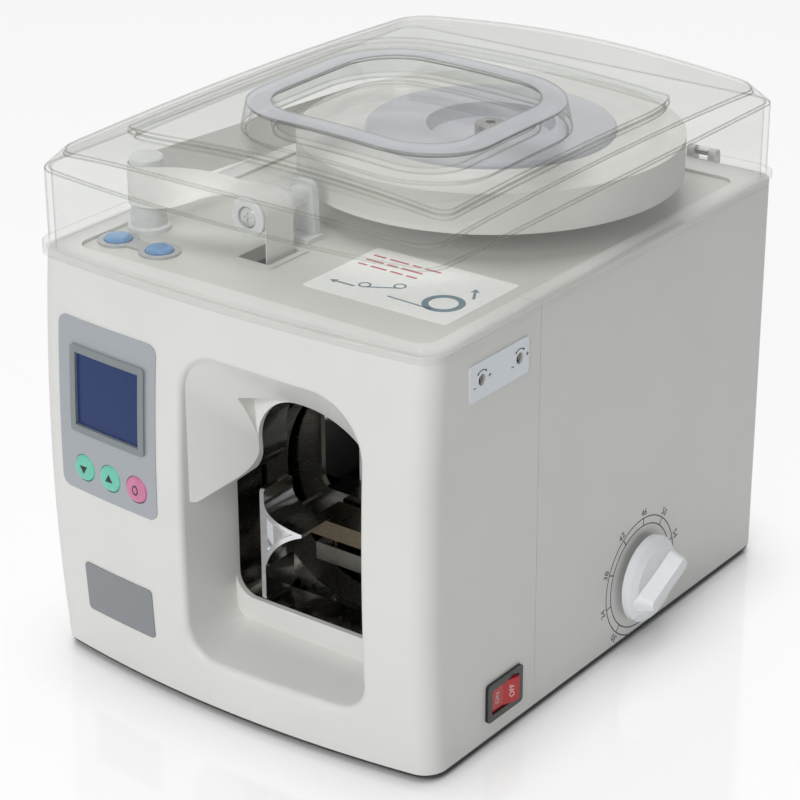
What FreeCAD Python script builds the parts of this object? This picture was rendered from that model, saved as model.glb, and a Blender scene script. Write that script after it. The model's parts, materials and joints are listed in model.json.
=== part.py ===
"""Banknote strapping machine, drawn as the separate pieces it is put together from.

A counter-top machine: notes go in at the front opening, paper tape comes off a reel under the
clear cover, a toothed winding ring carries it round the notes, and a hot block seals it.

Every solid is drawn in the casing's own frame, in millimetres: x from the casing's centre plane
(+ to the right, seen from the front), y from the plane of its front corners (+ to the back), and
z from the surface it stands on. emit() then moves it to the part's origin, the middle of the
whole machine's footprint.
"""
import FreeCAD, Part
import math
import os
from FreeCAD import Vector

# ---------------------------------------------------------------- casing
CASE_W = 230.0           # outer width
CASE_D = 292.0           # depth along the side walls
CASE_H = 209.0           # base plate's underside to rim
FOOT_H = 3.0
SIDE = CASE_W / 2        # the casing's side planes, left and right of its middle
Z_RIM = FOOT_H + CASE_H
FOOT_R = 8.0
FOOT_INSET = 26.0        # foot centre from the casing's side and end planes
BOW_BASE = 10.4          # how far the front bows out in plan, at the base
BOW_RIM = 6.4            # and at the rim
BELLY = 5.7              # how far the front swells at half height
WALL = 2.8
FRONT_R = 12.0           # upright edges of the casing, front
BACK_R = 8.0             # and back
RIM_CHAMFER = 0.8
SEAM_Y = 81.5            # where front and rear shells meet
SEAM_GAP = 0.3
SEAM_TABS = (30.0, 110.0, 180.0)     # heights of the front shell's locating tabs
GROOVE_DEEP = 1.2        # bands down the back under the hinges
VENT_X, VENT_Y, VENT_Z = (-20.0, 40.0), (170.0, 240.0), 30.0
VENT_COUNT, VENT_PITCH, VENT_H = 8, 7.0, 3.0
BASE_T = 1.5
BASE_INSET = 0.6
LEDGE_W = 18.0           # flat rim round the deck, front and back
LEDGE_SIDE = 12.0        # and at the sides
FIT = 0.3                # gap round a loose piece
RUN = 0.05               # radial running clearance of a shaft

# ---------------------------------------------------------------- front opening and chamber
MOUTH_X = (-21.0, 82.5)
MOUTH_Z = (28.0, Z_RIM - 18.0)
MOUTH_R = 18.0
SHOULDER_Z = 108.0       # the mouth's upper half is scooped above this height
THROAT_X = (-20.0, 76.0)
THROAT_TOP_X = -6.0      # left side of the throat at its top, after the shoulder
SWEEP_TOP = (-2.5, 121.0)  # where the throat's left side begins to sweep out to the shoulder
SWEEP_END_X = -25.0      # where that sweep reaches the shoulder's ledge
SWEEP_R = 16.0
THROAT_Z = (47.0, Z_RIM - 54.0)
THROAT_SHOULDER_Z = 102.0
THROAT_R_TOP = (24.0, 52.0)
THROAT_R_LOW = 8.0
MOUTH_SOFT = 3.5         # rounding where the scoop leaves the front face
LOBE_Y = -7.0            # where the scoop's upper left begins to lean in
THROAT_Y = 24.0          # where the scoop ends and the sill stands
SILL_T = 3.0
RAMP_RISE = 6.5          # how much the floor of the scoop climbs towards the sill
LINER_T = 1.2
LINER_L = 18.0

# ---------------------------------------------------------------- clear cover
COVER_T = 3.0
COVER_WALL_H = 39.4
COVER_CHAMFER = 6.9      # inset of the top's corners
COVER_CHAMFER_H = 7.9
COVER_WALL_BOW = 8.6     # bow of the front wall where the shoulder starts
COVER_BOW = 10.2         # and of the front top edge
COVER_CROWN_X = 6.9      # rise of the front and back top edges at their middle
COVER_CROWN_Y = 3.2      # rise of the side top edges at their middle
COVER_GAP = 0.3
LIP_T = 1.5
LIP_DROP = 2.5
LIP_UP = 3.5
LIP_EASE = 2.5           # how much tighter the lip's corners are than the casing's
PLATEAU = (174.0, 194.0, 24.0)   # raised panel of the cover: width, length, corner radius
PLATEAU_H = 2.5
BAND_OUT = (132.0, 132.0, 42.0)  # raised rounded band on it
BAND_W = 20.0
BAND_H = 12.0
PLATEAU_C = (-2.0, 144.0)
HINGE_X = 71.0
HINGE_BACK = 3.4         # hinge axis behind the back wall
HINGE_UP = 2.2           # and above the rim
KNUCKLE_R = 3.0
PIN_R = 1.5
LUG_W = 8.0
EAR_W = 4.0

# ---------------------------------------------------------------- display and keys
PANEL_X = (15.0 - SIDE, 80.0 - SIDE)
PANEL_Z = (Z_RIM - 116.0, Z_RIM - 28.0)
PANEL_R = 5.0
LCD_FRAME_X = (24.0 - SIDE, 73.5 - SIDE)
LCD_FRAME_Z = (Z_RIM - 84.5, Z_RIM - 40.5)
LCD_BORDER = 3.6
KEY_Z = PANEL_Z[0] + 13.0
KEY_X = (31.6 - SIDE, 49.4 - SIDE, 67.2 - SIDE)
KEY_R = 6.7
KEY_TRAVEL = 0.8
BOARD_T = 1.6
BOARD_Y = 0.5
SWITCH_TALL = 1.4        # key switches on the display board

# ---------------------------------------------------------------- right side controls
ADJ_Y = (26.0, 71.0)
ADJ_Z = (Z_RIM - 29.5, Z_RIM - 12.0)
ADJ_T = 0.8
TRIM_Y = (34.8, 63.8)
TRIM_Z = Z_RIM - 20.6
TRIM_R = 2.2
TRIM_BODY_X = (SIDE - 15.0, SIDE - 6.0)
SWITCH_Y = (41.0, 69.5)
SWITCH_Z = (13.5, 33.5)
SWITCH_RIM = 2.4
SWITCH_PROUD = 1.6
SWITCH_DEPTH = 16.0
ROCK_ANGLE = 9.0         # rocker's tilt to each side
ROCK_WELL = 9.0
ROCK_AXLE_IN = 4.0       # rocker's axle behind the wall's face
KNOB_Y = 175.0
KNOB_Z = 34.0
KNOB_R = 22.5
KNOB_GAP = 3.6           # between the knob and the wall
KNOB_H = 14.0
KNOB_REST = 204.0        # where the grip's marked end points at rest, degrees
SHAFT_R = 3.0
KNOB_BLOCK_X = (SIDE - 27.0, SIDE - 17.0)
RACK_M = 1.0             # module of rack and pinion
RACK_TEETH = 13          # pinion's teeth
RACK_BACK = 32.0         # how far the rack's teeth run in front of the pinion
DIAL_LOW, DIAL_HIGH = 30.0, 54.0     # tape's distance from the notes' end, mm
DIAL_START = 228.0       # grip's angle at the low end of the dial

# ---------------------------------------------------------------- winding mechanism
RING_X = 34.0
RING_Z = 101.0
RING_M = 1.5
RING_TEETH = 88
PINION_TEETH = 16
PINION_AT = 250.0        # pinion's place round the ring, degrees
RING_BORE_R = 55.0
RING_HOLES_R = 59.0
MOTOR_W = 38.0
TRACK_R = 63.0
ROLLER_R = 7.0
ROLLERS_AT = (90.0, 195.0, 345.0)
TAPE_Y = 58.0            # middle of the tape inside the machine
TAPE_W = 20.0
TAPE_T = 0.4
TAPE_X = -16.0
RING_GEAR_W = 8.0
PLATE_T = 3.0
PLATE_GAP = 4.0          # ring's back to the plate
PLATE_X = (-64.0, SIDE - 9.0)
PLATE_TOP = Z_RIM - 9.0
WINDOW_X = (-3.0, 77.0)
WINDOW_Z = (91.0, 150.0)
SHELF_Z = 91.0           # top of the note shelf
SHELF_T = 3.0
SHELF_X = 75.0
GUIDE_T = 2.5
GUIDE_X = -3.5
GUIDE_Z = (49.0, 108.0)
GUIDE_TIP_X = 21.5       # point of the guide's shelf rib
HEAT_X = (8.0, 40.0)
FEED_R = 9.0
PINCH_R = 6.0
FEED_Z = Z_RIM - 22.0
STOP_X = (4.0, 70.0)
STOP_Z = (94.0, 122.0)
STOP_T = 2.5
ROD_R = 3.0
RACK_X = (58.0, 66.0)
RACK_TALL = 7.5          # rack's back above its pitch line
ROD_Z = 76.0
ROD_END = 140.0
CLAMP_Y = 80.0
CLAMP_Z = 124.0
CLAMP_TRAVEL = 18.0
CUT_TRAVEL = 6.0
CUT_Z = Z_RIM - 36.0

# ---------------------------------------------------------------- deck, reel and tape path
DECK_T = 2.5
DECK_LOW = 1.5           # deck's face below the rim
DECK_LAP = 6.0
REEL_LEFT = 30.0         # least room from the reel's edge to the left side plane
REEL_SIDE = 8.0          # reel's edge to the right side plane
REEL_BACK = 6.0          # and to the back plane
REEL_FRONT = 4.0         # least room from it to the tape roller's bracket
REEL_UP = 12.0           # reel's lower face above the rim
CORE_R = 38.0
HUB_FLANGE_R = 62.0
HUB_FLANGE_T = 3.0
DISC_R = 64.0
DISC_T = 2.2
SPINDLE_R = 8.0
POST_C = (23.0 - SIDE, 52.0)
POST_R = (9.0, 7.0)
POST_H = 37.0
GUIDE_ROLLER_Z = Z_RIM + 20.0
GUIDE_ROLLER_R = 9.0
AXLE_R = 2.5
TWIST_PART = 0.82        # part of its run to the roller in which the tape twists
SLOT_X = (-33.0, -12.0)
SLOT_L = 26.0
BRACKET_Y = (86.0, 90.0)
BUTTONS = ((23.0 - SIDE, 30.0), (49.0 - SIDE, 30.0))
BUTTON_R = 6.8
BUTTON_TRAVEL = 1.5
BUTTON_BOARD_Z = Z_RIM - 16.0
BUTTON_SWITCH_H = 3.4

# ---------------------------------------------------------------- power and electronics
INLET_X, INLET_Z = (21.0 - SIDE, 49.0 - SIDE), (14.0, 34.0)
TRAFO_X, TRAFO_Y, TRAFO_TOP = (17.0 - SIDE, 77.0 - SIDE), (120.0, 188.0), 62.0
MAIN_X, MAIN_Y = (-30.0, SIDE - 23.0), (CASE_D - 80.0, CASE_D - 12.0)

# ---------------------------------------------------------------- worked out from the above
Z_BASE = FOOT_H + BASE_T
ARCH_ROOM = THROAT_X[1] - THROAT_TOP_X - 1.15 * THROAT_R_TOP[0]
THROAT_ARCH = (THROAT_R_TOP[0], min(THROAT_R_TOP[1], ARCH_ROOM))
LEDGE_Z = Z_RIM - WALL
SILL_H = THROAT_Z[0] - MOUTH_Z[0] - RAMP_RISE
DECK_Z = Z_RIM - DECK_LOW
REEL_BAY = (CASE_W - REEL_LEFT - REEL_SIDE, CASE_D - REEL_BACK - REEL_FRONT - BRACKET_Y[1])
REEL_R = min(REEL_BAY) / 2
REEL_C = (SIDE - REEL_SIDE - REEL_R, CASE_D - REEL_BACK - REEL_R)
REEL_Z = Z_RIM + REEL_UP
RING_R = RING_M * RING_TEETH / 2
PINION_R = RING_M * PINION_TEETH / 2
PINION_C = (RING_X + (RING_R + PINION_R) * math.cos(math.radians(PINION_AT)),
            RING_Z + (RING_R + PINION_R) * math.sin(math.radians(PINION_AT)))
RING_Y = (TAPE_Y - RING_GEAR_W, TAPE_Y, TAPE_Y + RING_GEAR_W)
PLATE_Y = RING_Y[2] + PLATE_GAP
PLATE_BACK = PLATE_Y + PLATE_T
PINION_PHASE = PINION_AT + 180 + 180.0 / PINION_TEETH
GUIDE_ROLLER_X = TAPE_X - TAPE_T / 2 - FIT - GUIDE_ROLLER_R
FEED_C = (TAPE_X - TAPE_T / 2 - FIT - FEED_R, FEED_Z)
PINCH_C = (TAPE_X + TAPE_T / 2 + FIT + PINCH_R, FEED_Z)
ROD_AT = ((STOP_X[0] + 8, ROD_Z), (STOP_X[1] - 8, ROD_Z))
STOP_SPAN = (TAPE_Y + DIAL_LOW, TAPE_Y + DIAL_HIGH)
ROCK_X = CASE_W / 2 - ROCK_AXLE_IN
STOP_PINION_R = RACK_M * RACK_TEETH / 2
PITCH_Z = KNOB_Z + STOP_PINION_R
DIAL_REST = DIAL_LOW + math.radians(DIAL_START - KNOB_REST) * STOP_PINION_R
STOP_Y = TAPE_Y + DIAL_REST
HINGE_Y = CASE_D + HINGE_BACK
HINGE_Z = Z_RIM + HINGE_UP
KNOB_X = CASE_W / 2 + KNOB_GAP
FRONT_MOST = -(BOW_BASE + BOW_RIM) / 2 - BELLY
SCOOP_Y = FRONT_MOST - 4.0
LIP_X = CASE_W / 2 + COVER_GAP + LIP_T
ORIGIN_X = (KNOB_X + KNOB_H - LIP_X) / 2
ORIGIN_Y = (FRONT_MOST + HINGE_Y + KNUCKLE_R) / 2


# ---------------------------------------------------------------- drawing helpers
def emit(node, *solids):
    """Write one node's solids, moved from the casing's frame to the part's origin."""
    flat = []
    for shape in solids:
        flat.extend(shape.Solids)
    moved = Part.makeCompound(flat) if len(flat) > 1 else flat[0].copy()
    moved.translate(Vector(-ORIGIN_X, -ORIGIN_Y, 0))
    os.makedirs("parts", exist_ok=True)
    moved.exportStep("parts/" + node + ".step")


def box(xs, ys, zs):
    """Block between two corners, each range given as (low, high)."""
    return Part.makeBox(xs[1] - xs[0], ys[1] - ys[0], zs[1] - zs[0], Vector(xs[0], ys[0], zs[0]))


def rod(axis, centre, r, span):
    """Cylinder along "x", "y" or "z": centre is its place in the other two axes."""
    low, length = span[0], span[1] - span[0]
    if axis == "x":
        return Part.makeCylinder(r, length, Vector(low, centre[0], centre[1]), Vector(1, 0, 0))
    if axis == "y":
        return Part.makeCylinder(r, length, Vector(centre[0], low, centre[1]), Vector(0, 1, 0))
    return Part.makeCylinder(r, length, Vector(centre[0], centre[1], low), Vector(0, 0, 1))


def place(plane, at, u, v):
    """Point u, v of a plane named by its two axes, at its own height."""
    if plane == "xy":
        return Vector(u, v, at)
    if plane == "xz":
        return Vector(u, at, v)
    return Vector(at, u, v)


def outline(plane, at, corners):
    """Closed wire through corners (u, v, radius), each rounded by its radius."""
    edges = []
    count = len(corners)
    ends = []
    for i in range(count):
        u, v, r = corners[i]
        before = corners[i - 1]
        after = corners[(i + 1) % count]
        here = Vector(u, v, 0)
        back = (Vector(before[0], before[1], 0) - here).normalize()
        ahead = (Vector(after[0], after[1], 0) - here).normalize()
        if r <= 0:
            ends.append((here, None, here))
            continue
        half = back.getAngle(ahead) / 2
        reach = r / math.tan(half)
        bisector = (back + ahead).normalize()
        mid = here + bisector * (r / math.sin(half) - r)
        ends.append((here + back * reach, mid, here + ahead * reach))
    for i in range(count):
        start, mid, end = ends[i]
        if mid is not None:
            arc = [place(plane, at, p.x, p.y) for p in (start, mid, end)]
            edges.append(Part.Arc(*arc).toShape())
        following = ends[(i + 1) % count][0]
        if end.distanceToPoint(following) > 1e-6:
            edges.append(Part.makeLine(place(plane, at, end.x, end.y),
                                       place(plane, at, following.x, following.y)))
    return Part.Wire(edges)


def normal_of(plane):
    return {"xy": Vector(0, 0, 1), "xz": Vector(0, 1, 0), "yz": Vector(1, 0, 0)}[plane]


def slab(plane, span, corners):
    """Straight block of an outline between two heights of its plane."""
    face = Part.Face(outline(plane, span[0], corners))
    return face.extrude(normal_of(plane) * (span[1] - span[0]))


def rect(us, vs, r=0.0):
    """Corners of a rounded rectangle."""
    return [(us[0], vs[0], r), (us[1], vs[0], r), (us[1], vs[1], r), (us[0], vs[1], r)]


def centred(centre, size):
    """Corners of a rounded rectangle about a centre, from (width, length, radius)."""
    w, l, r = size
    return rect((centre[0] - w / 2, centre[0] + w / 2), (centre[1] - l / 2, centre[1] + l / 2), r)


def bezier(*points):
    curve = Part.BezierCurve()
    curve.setPoles(list(points))
    return curve.toShape()


def patch(rows):
    """Bezier surface from rows of poles."""
    surface = Part.BezierSurface()
    surface.increase(len(rows) - 1, len(rows[0]) - 1)
    for i, row in enumerate(rows):
        for j, pole in enumerate(row):
            surface.setPole(i + 1, j + 1, pole)
    return surface.toShape()


def solid_of(faces):
    shell = Part.makeShell(faces)
    shell.sewShape()
    solid = Part.Solid(shell)
    if solid.Volume < 0:
        solid.reverse()
    return solid


def flat(*edges):
    return Part.Face(Part.Wire(Part.__sortEdges__(list(edges))))


def upright(edge):
    """True for an edge that climbs more than it runs sideways."""
    ends = edge.Vertexes
    rise = abs(ends[-1].Z - ends[0].Z)
    run = math.hypot(ends[-1].X - ends[0].X, ends[-1].Y - ends[0].Y)
    return rise > 5 * run


def case_block(inset):
    """The casing's full form, drawn in by inset all round except top and bottom."""
    half = CASE_W / 2 - inset
    back = CASE_D - inset
    low, high = FOOT_H, Z_RIM
    rows = []
    for u, share in ((-half, 0), (0, 1), (half, 0)):
        column = []
        for v, bow, belly in ((low, BOW_BASE, 0), ((low + high) / 2, (BOW_BASE + BOW_RIM) / 2, 1),
                              (high, BOW_RIM, 0)):
            column.append(Vector(u, inset - 2 * bow * share - 2 * BELLY * belly, v))
        rows.append(column)
    corner = {(s, z): Vector(s * half, back, z) for s in (-1, 1) for z in (low, high)}
    edge_l, edge_r = bezier(*rows[0]), bezier(*rows[2])
    edge_b, edge_t = bezier(*[row[0] for row in rows]), bezier(*[row[2] for row in rows])
    run = {}
    for s, row in ((-1, rows[0]), (1, rows[2])):
        run[s, low] = Part.makeLine(row[0], corner[s, low])
        run[s, high] = Part.makeLine(row[2], corner[s, high])
        run[s, "back"] = Part.makeLine(corner[s, low], corner[s, high])
    across_b = Part.makeLine(corner[-1, low], corner[1, low])
    across_t = Part.makeLine(corner[-1, high], corner[1, high])
    faces = [patch(rows),
             flat(edge_l, run[-1, low], run[-1, "back"], run[-1, high]),
             flat(edge_r, run[1, low], run[1, "back"], run[1, high]),
             flat(edge_b, run[-1, low], across_b, run[1, low]),
             flat(edge_t, run[-1, high], across_t, run[1, high]),
             flat(across_b, run[-1, "back"], across_t, run[1, "back"])]
    block = solid_of(faces)
    front = [e for e in block.Edges if upright(e) and e.CenterOfMass.y < CASE_D / 2]
    block = block.makeFillet(FRONT_R - inset, front)
    rear = [e for e in block.Edges if upright(e) and e.CenterOfMass.y > CASE_D - 1 - inset]
    return block.makeFillet(BACK_R - inset, rear)


def surface_y(x, z):
    """Where the casing's front face lies, at a place seen from the front."""
    share = (z - FOOT_H) / CASE_H
    bow = BOW_BASE + (BOW_RIM - BOW_BASE) * share
    return -bow * (1 - (2 * x / CASE_W) ** 2) - BELLY * (1 - (2 * share - 1) ** 2)


def skin(depth, corners):
    """Piece of a layer lying on the front face: depth is (how far in, how far out)."""
    prism = slab("xz", (-40.0, 20.0), corners)
    return case_block(-depth[1]).common(prism).cut(case_block(-depth[0]))


def rounded(solid, r, pick):
    """Fillet of every edge that pick accepts."""
    return solid.makeFillet(r, [e for e in solid.Edges if pick(e)])


def along(axis):
    """Test for straight edges that run along one axis."""
    def check(edge):
        ends = edge.Vertexes
        if len(ends) < 2:
            return False
        run = ends[1].Point - ends[0].Point
        return abs(abs(run.dot(axis)) - run.Length) < 1e-6 and edge.Length < run.Length * 1.001
    return check


def turned(axis, centre, profile):
    """Solid of revolution from (radius, place along the axis) pairs."""
    plane = {"x": (Vector(1, 0, 0), Vector(0, 1, 0)), "y": (Vector(0, 1, 0), Vector(1, 0, 0)),
             "z": (Vector(0, 0, 1), Vector(1, 0, 0))}[axis]
    line, out = plane
    start = {"x": Vector(0, centre[0], centre[1]), "y": Vector(centre[0], 0, centre[1]),
             "z": Vector(centre[0], centre[1], 0)}[axis]
    points = [start + out * r + line * s for r, s in profile]
    solid = Part.Face(Part.makePolygon(points + [points[0]])).revolve(start, line, 360)
    if solid.Volume < 0:
        solid.reverse()
    return solid


def fused(*solids):
    whole = solids[0].fuse(list(solids[1:])) if len(solids) > 1 else solids[0]
    return whole.removeSplitter()


def gear(axis, centre, span, module, teeth, phase, bore):
    """Spur gear whose teeth are thin enough to run clear of their mate's."""
    pitch = module * teeth / 2
    tip, root = pitch + 0.8 * module, pitch - 1.2 * module
    step = 2 * math.pi / teeth
    half = step / 4 * 0.78
    lean = 0.36 * module / pitch
    points = []
    for i in range(teeth):
        mid = math.radians(phase) + i * step
        for radius, angle in ((root, -half - lean), (tip, -half + lean), (tip, half - lean),
                              (root, half + lean)):
            u = centre[0] + radius * math.cos(mid + angle)
            v = centre[1] + radius * math.sin(mid + angle)
            points.append((u, v))
    plane = {"x": "yz", "y": "xz"}[axis]
    wire = Part.makePolygon([place(plane, span[0], u, v) for u, v in points + [points[0]]])
    blank = Part.Face(wire).extrude(normal_of(plane) * (span[1] - span[0]))
    return blank.cut(rod(axis, centre, bore, (span[0] - 1, span[1] + 1)))


# ---------------------------------------------------------------- casing pieces
def mouth_corners(share, grow=0.0):
    """Corners of the scoop between its mouth (share 0) and the throat (share 1)."""
    def between(front, back):
        return front + (back - front) * share

    left, right = (between(MOUTH_X[i], THROAT_X[i]) for i in (0, 1))
    low = between(MOUTH_Z[0], THROAT_Z[0] - SILL_H)
    high = between(MOUTH_Z[1], THROAT_Z[1])
    left_r, right_r = (between(MOUTH_R, r) for r in THROAT_ARCH)
    low_r = between(MOUTH_R, THROAT_R_LOW) + grow
    return [(left - grow, low - grow, low_r), (right + grow, low - grow, low_r),
            (right + grow, high + grow, right_r + grow), (left - grow, high + grow, left_r + grow)]


def mouth_air(grow):
    """Space of the front opening's scoop, grown by a wall thickness when asked."""
    front = outline("xz", SCOOP_Y, mouth_corners(0, grow))
    back = outline("xz", THROAT_Y, mouth_corners(1, grow))
    loft = Part.makeLoft([front, back], True, True)
    if not grow:
        return loft
    end = slab("xz", (THROAT_Y, THROAT_Y + grow), mouth_corners(1, grow))
    return loft.fuse(end)


def scoop_lobe():
    """Thick upper left of the scoop: it leans in over a ledge towards the throat's arch."""
    start = (LOBE_Y - SCOOP_Y) / (THROAT_Y - SCOOP_Y)
    at_front = outline("xz", LOBE_Y, mouth_corners(start, 0.3))
    left_r, right_r = THROAT_ARCH
    low, top = THROAT_Z[0] - SILL_H, THROAT_Z[1]
    lean = (SWEEP_TOP[0] - THROAT_TOP_X) / (SWEEP_TOP[1] - top)
    foot = THROAT_TOP_X + (low - top) * lean
    at_back = outline("xz", THROAT_Y, [(foot, low, 5.0), (THROAT_X[1] + 3, low, 5.0),
                                       (THROAT_X[1] + 3, top, right_r), (THROAT_TOP_X, top, left_r)])
    arch = Part.makeLoft([at_front, at_back], True, True)
    over = slab("yz", (-60.0, 20.0), [(LOBE_Y, SHOULDER_Z, 0), (THROAT_Y, THROAT_SHOULDER_Z, 0),
                                      (THROAT_Y, 200.0, 0), (LOBE_Y, 200.0, 0)])
    sweep = slab("xz", (-60.0, THROAT_Y + 1), [(THROAT_TOP_X, top, 0), (*SWEEP_TOP, SWEEP_R),
                                               (SWEEP_END_X, THROAT_SHOULDER_Z, 0),
                                               (SWEEP_END_X, low, 0), (THROAT_X[1], low, 0),
                                               (THROAT_X[1], top, 0)])
    return mouth_air(1.0).common(over).cut(arch).cut(sweep)


def throat(grow, ys):
    """Straight passage through the scoop's back wall."""
    left_r, right_r = THROAT_ARCH
    slope = (SWEEP_TOP[1] - THROAT_SHOULDER_Z) / (SWEEP_TOP[0] - SWEEP_END_X)
    step_z = THROAT_SHOULDER_Z + (THROAT_X[0] - SWEEP_END_X) * slope
    corners = [(THROAT_X[0], THROAT_Z[0], 11.0), (THROAT_X[1], THROAT_Z[0], 8.0),
               (THROAT_X[1], THROAT_Z[1], right_r), (THROAT_TOP_X, THROAT_Z[1], left_r),
               (*SWEEP_TOP, SWEEP_R), (THROAT_X[0], step_z, 1.0)]
    wire = outline("xz", ys[0], corners)
    if grow:
        wire = wire.makeOffset2D(grow)
    return Part.Face(wire).extrude(Vector(0, ys[1] - ys[0], 0))


def on_mouth(edge):
    """True for the edges where the scoop meets the front face."""
    mid = edge.valueAt((edge.FirstParameter + edge.LastParameter) / 2)
    near = abs(mid.y - surface_y(mid.x, mid.z)) < 0.05
    inside = MOUTH_X[0] - 3 < mid.x < MOUTH_X[1] + 3 and MOUTH_Z[0] - 3 < mid.z < MOUTH_Z[1] + 3
    return near and inside


def deck_opening(gap, zs):
    """Block over the deck's opening in the casing's top, drawn in by gap."""
    half = CASE_W / 2 - LEDGE_SIDE - gap
    ys = (LEDGE_W - BOW_RIM + gap, CASE_D - LEDGE_W - gap)
    return slab("xy", zs, rect((-half, half), ys, 8.0 - gap))


def casing():
    """Both shells in one: walls, top ledge and the moulded scoop."""
    outer = case_block(0)
    outer = outer.makeChamfer(RIM_CHAMFER, [e for e in outer.Edges if on_rim(e)])
    outer = outer.cut(mouth_air(0))
    outer = outer.makeFillet(MOUTH_SOFT, [e for e in outer.Edges if on_mouth(e)])
    outer = outer.fuse(scoop_lobe())
    hollow = case_block(WALL).common(box((-200, 200), (-60, 400), (0, LEDGE_Z)))
    whole = outer.cut(hollow.cut(mouth_air(WALL)))
    whole = whole.cut(throat(0, (THROAT_Y - 1.0, THROAT_Y + 2 * WALL)))
    whole = whole.cut(deck_opening(0, (LEDGE_Z - 1, Z_RIM + 1)))
    return whole.cut(box((-200, 200), (-60, 400), (0, Z_BASE)))


def on_rim(edge):
    """True for the outer edges of the casing's top face."""
    ends = edge.Vertexes
    return all(abs(v.Z - Z_RIM) < 1e-3 for v in ends)


def display_holes():
    """Openings of the front wall behind the display and the keys."""
    window = skin((-2 * WALL, 1.0), rect(*lcd_window()))
    keys = [rod("y", (x, KEY_Z), KEY_R + FIT, (-30, 10)) for x in KEY_X]
    return fused(window, *keys)


def lcd_window():
    return ((LCD_FRAME_X[0] + LCD_BORDER, LCD_FRAME_X[1] - LCD_BORDER),
            (LCD_FRAME_Z[0] + LCD_BORDER, LCD_FRAME_Z[1] - LCD_BORDER))


def board_bosses():
    """Posts inside the front wall that carry the display board."""
    posts = []
    for x in (PANEL_X[0] + 5, PANEL_X[1] - 5):
        for z in (PANEL_Z[0] + 6, PANEL_Z[1] - 6):
            post = rod("y", (x, z), 3.2, (surface_y(x, z) + WALL - 1.2, BOARD_Y))
            posts.append(post.cut(rod("y", (x, z), 1.1, (BOARD_Y - 6, BOARD_Y + 1))))
    return posts


def side_slot(ys, zs, r=1.0, deep=12.0):
    """Cutter through the right wall."""
    return slab("yz", (CASE_W / 2 - deep, CASE_W / 2 + deep), rect(ys, zs, r))


def front_shell(whole):
    keep = box((-200, 200), (-60, SEAM_Y - SEAM_GAP / 2), (0, 300))
    shell = whole.common(keep)
    shell = fused(shell, *board_bosses())
    shell = shell.cut(display_holes())
    shell = shell.cut(side_slot(grow_span(SWITCH_Y, -SWITCH_RIM + FIT),
                                grow_span(SWITCH_Z, -SWITCH_RIM + FIT)))
    for y in TRIM_Y:
        shell = shell.cut(rod("x", (y, TRIM_Z), TRIM_R + 0.5, (CASE_W / 2 - 8, CASE_W / 2 + 3)))
    tongue = [box((s * (CASE_W / 2 - WALL) - (WALL if s > 0 else 0),
                   s * (CASE_W / 2 - WALL) + (0 if s > 0 else WALL)),
                  (SEAM_Y - 6, SEAM_Y + 5), (z, z + 14.0)) for s in (-1, 1) for z in SEAM_TABS]
    return fused(shell, *tongue)


def grow_span(span, by):
    return (span[0] - by, span[1] + by)


def vent_slots():
    """Rows of slots low in the back wall and in the left wall."""
    cutters = []
    for i in range(VENT_COUNT):
        z = VENT_Z + i * VENT_PITCH
        cutters.append(box((VENT_X[0], VENT_X[1]), (CASE_D - 10, CASE_D + 5), (z, z + VENT_H)))
        cutters.append(box((-CASE_W / 2 - 5, -CASE_W / 2 + 8), VENT_Y, (z, z + VENT_H)))
    return cutters


def hinge_ears():
    """Pairs of ears behind the back wall that carry the cover's pins."""
    ears = []
    for side in (-1, 1):
        for step in (-1, 1):
            mid = side * HINGE_X + step * (LUG_W / 2 + FIT + EAR_W / 2)
            xs = (mid - EAR_W / 2, mid + EAR_W / 2)
            ear = fused(rod("x", (HINGE_Y, HINGE_Z), KNUCKLE_R, xs),
                        box(xs, (HINGE_Y - KNUCKLE_R, HINGE_Y + KNUCKLE_R), (Z_RIM - 9, HINGE_Z)),
                        slab("yz", xs, [(CASE_D - 1, Z_RIM - 0.3, 0), (CASE_D - 1, Z_RIM - 15, 0),
                                        (HINGE_Y + KNUCKLE_R, Z_RIM - 9, 0),
                                        (HINGE_Y + KNUCKLE_R, Z_RIM - 0.3, 0)]))
            ears.append(ear)
    return ears


def rear_shell(whole):
    keep = box((-200, 200), (SEAM_Y + SEAM_GAP / 2, 400), (0, 300))
    shell = fused(whole.common(keep), *hinge_ears())
    for side in (-1, 1):
        reach = LUG_W / 2 + FIT + EAR_W
        shell = shell.cut(rod("x", (HINGE_Y, HINGE_Z), PIN_R,
                              (side * HINGE_X - reach - 1, side * HINGE_X + reach + 1)))
        relief = reach + 1.5
        groove = box((side * HINGE_X - relief, side * HINGE_X + relief),
                     (CASE_D - GROOVE_DEEP, CASE_D + 20), (20.0, Z_RIM - 16))
        shell = shell.cut(groove)
    shell = shell.cut(fused(*vent_slots()))
    shell = shell.cut(rod("x", (KNOB_Y, KNOB_Z), SHAFT_R + 0.4, (CASE_W / 2 - 10, CASE_W / 2 + 5)))
    inlet = grow_span(INLET_X, FIT), grow_span(INLET_Z, FIT)
    shell = shell.cut(slab("xz", (CASE_D - 12, CASE_D + 5), rect(inlet[0], inlet[1], 2.0)))
    return shell


def base_plate():
    plan = case_block(BASE_INSET).common(box((-200, 200), (-60, 400), (FOOT_H, Z_BASE)))
    for x, y in foot_centres():
        plan = plan.cut(rod("z", (x, y), 2.6, (0, 10)))
    for i in range(9):
        x = -72.0 + i * 9.0
        plan = plan.cut(slab("xy", (0, 10), rect((x, x + 4.0), (118.0, 166.0), 1.9)))
    return fused(plan, knob_block())


def foot_centres():
    reach = CASE_W / 2 - FOOT_INSET
    return [(x, y) for x in (-reach, reach) for y in (FOOT_INSET, CASE_D - FOOT_INSET)]


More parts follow.
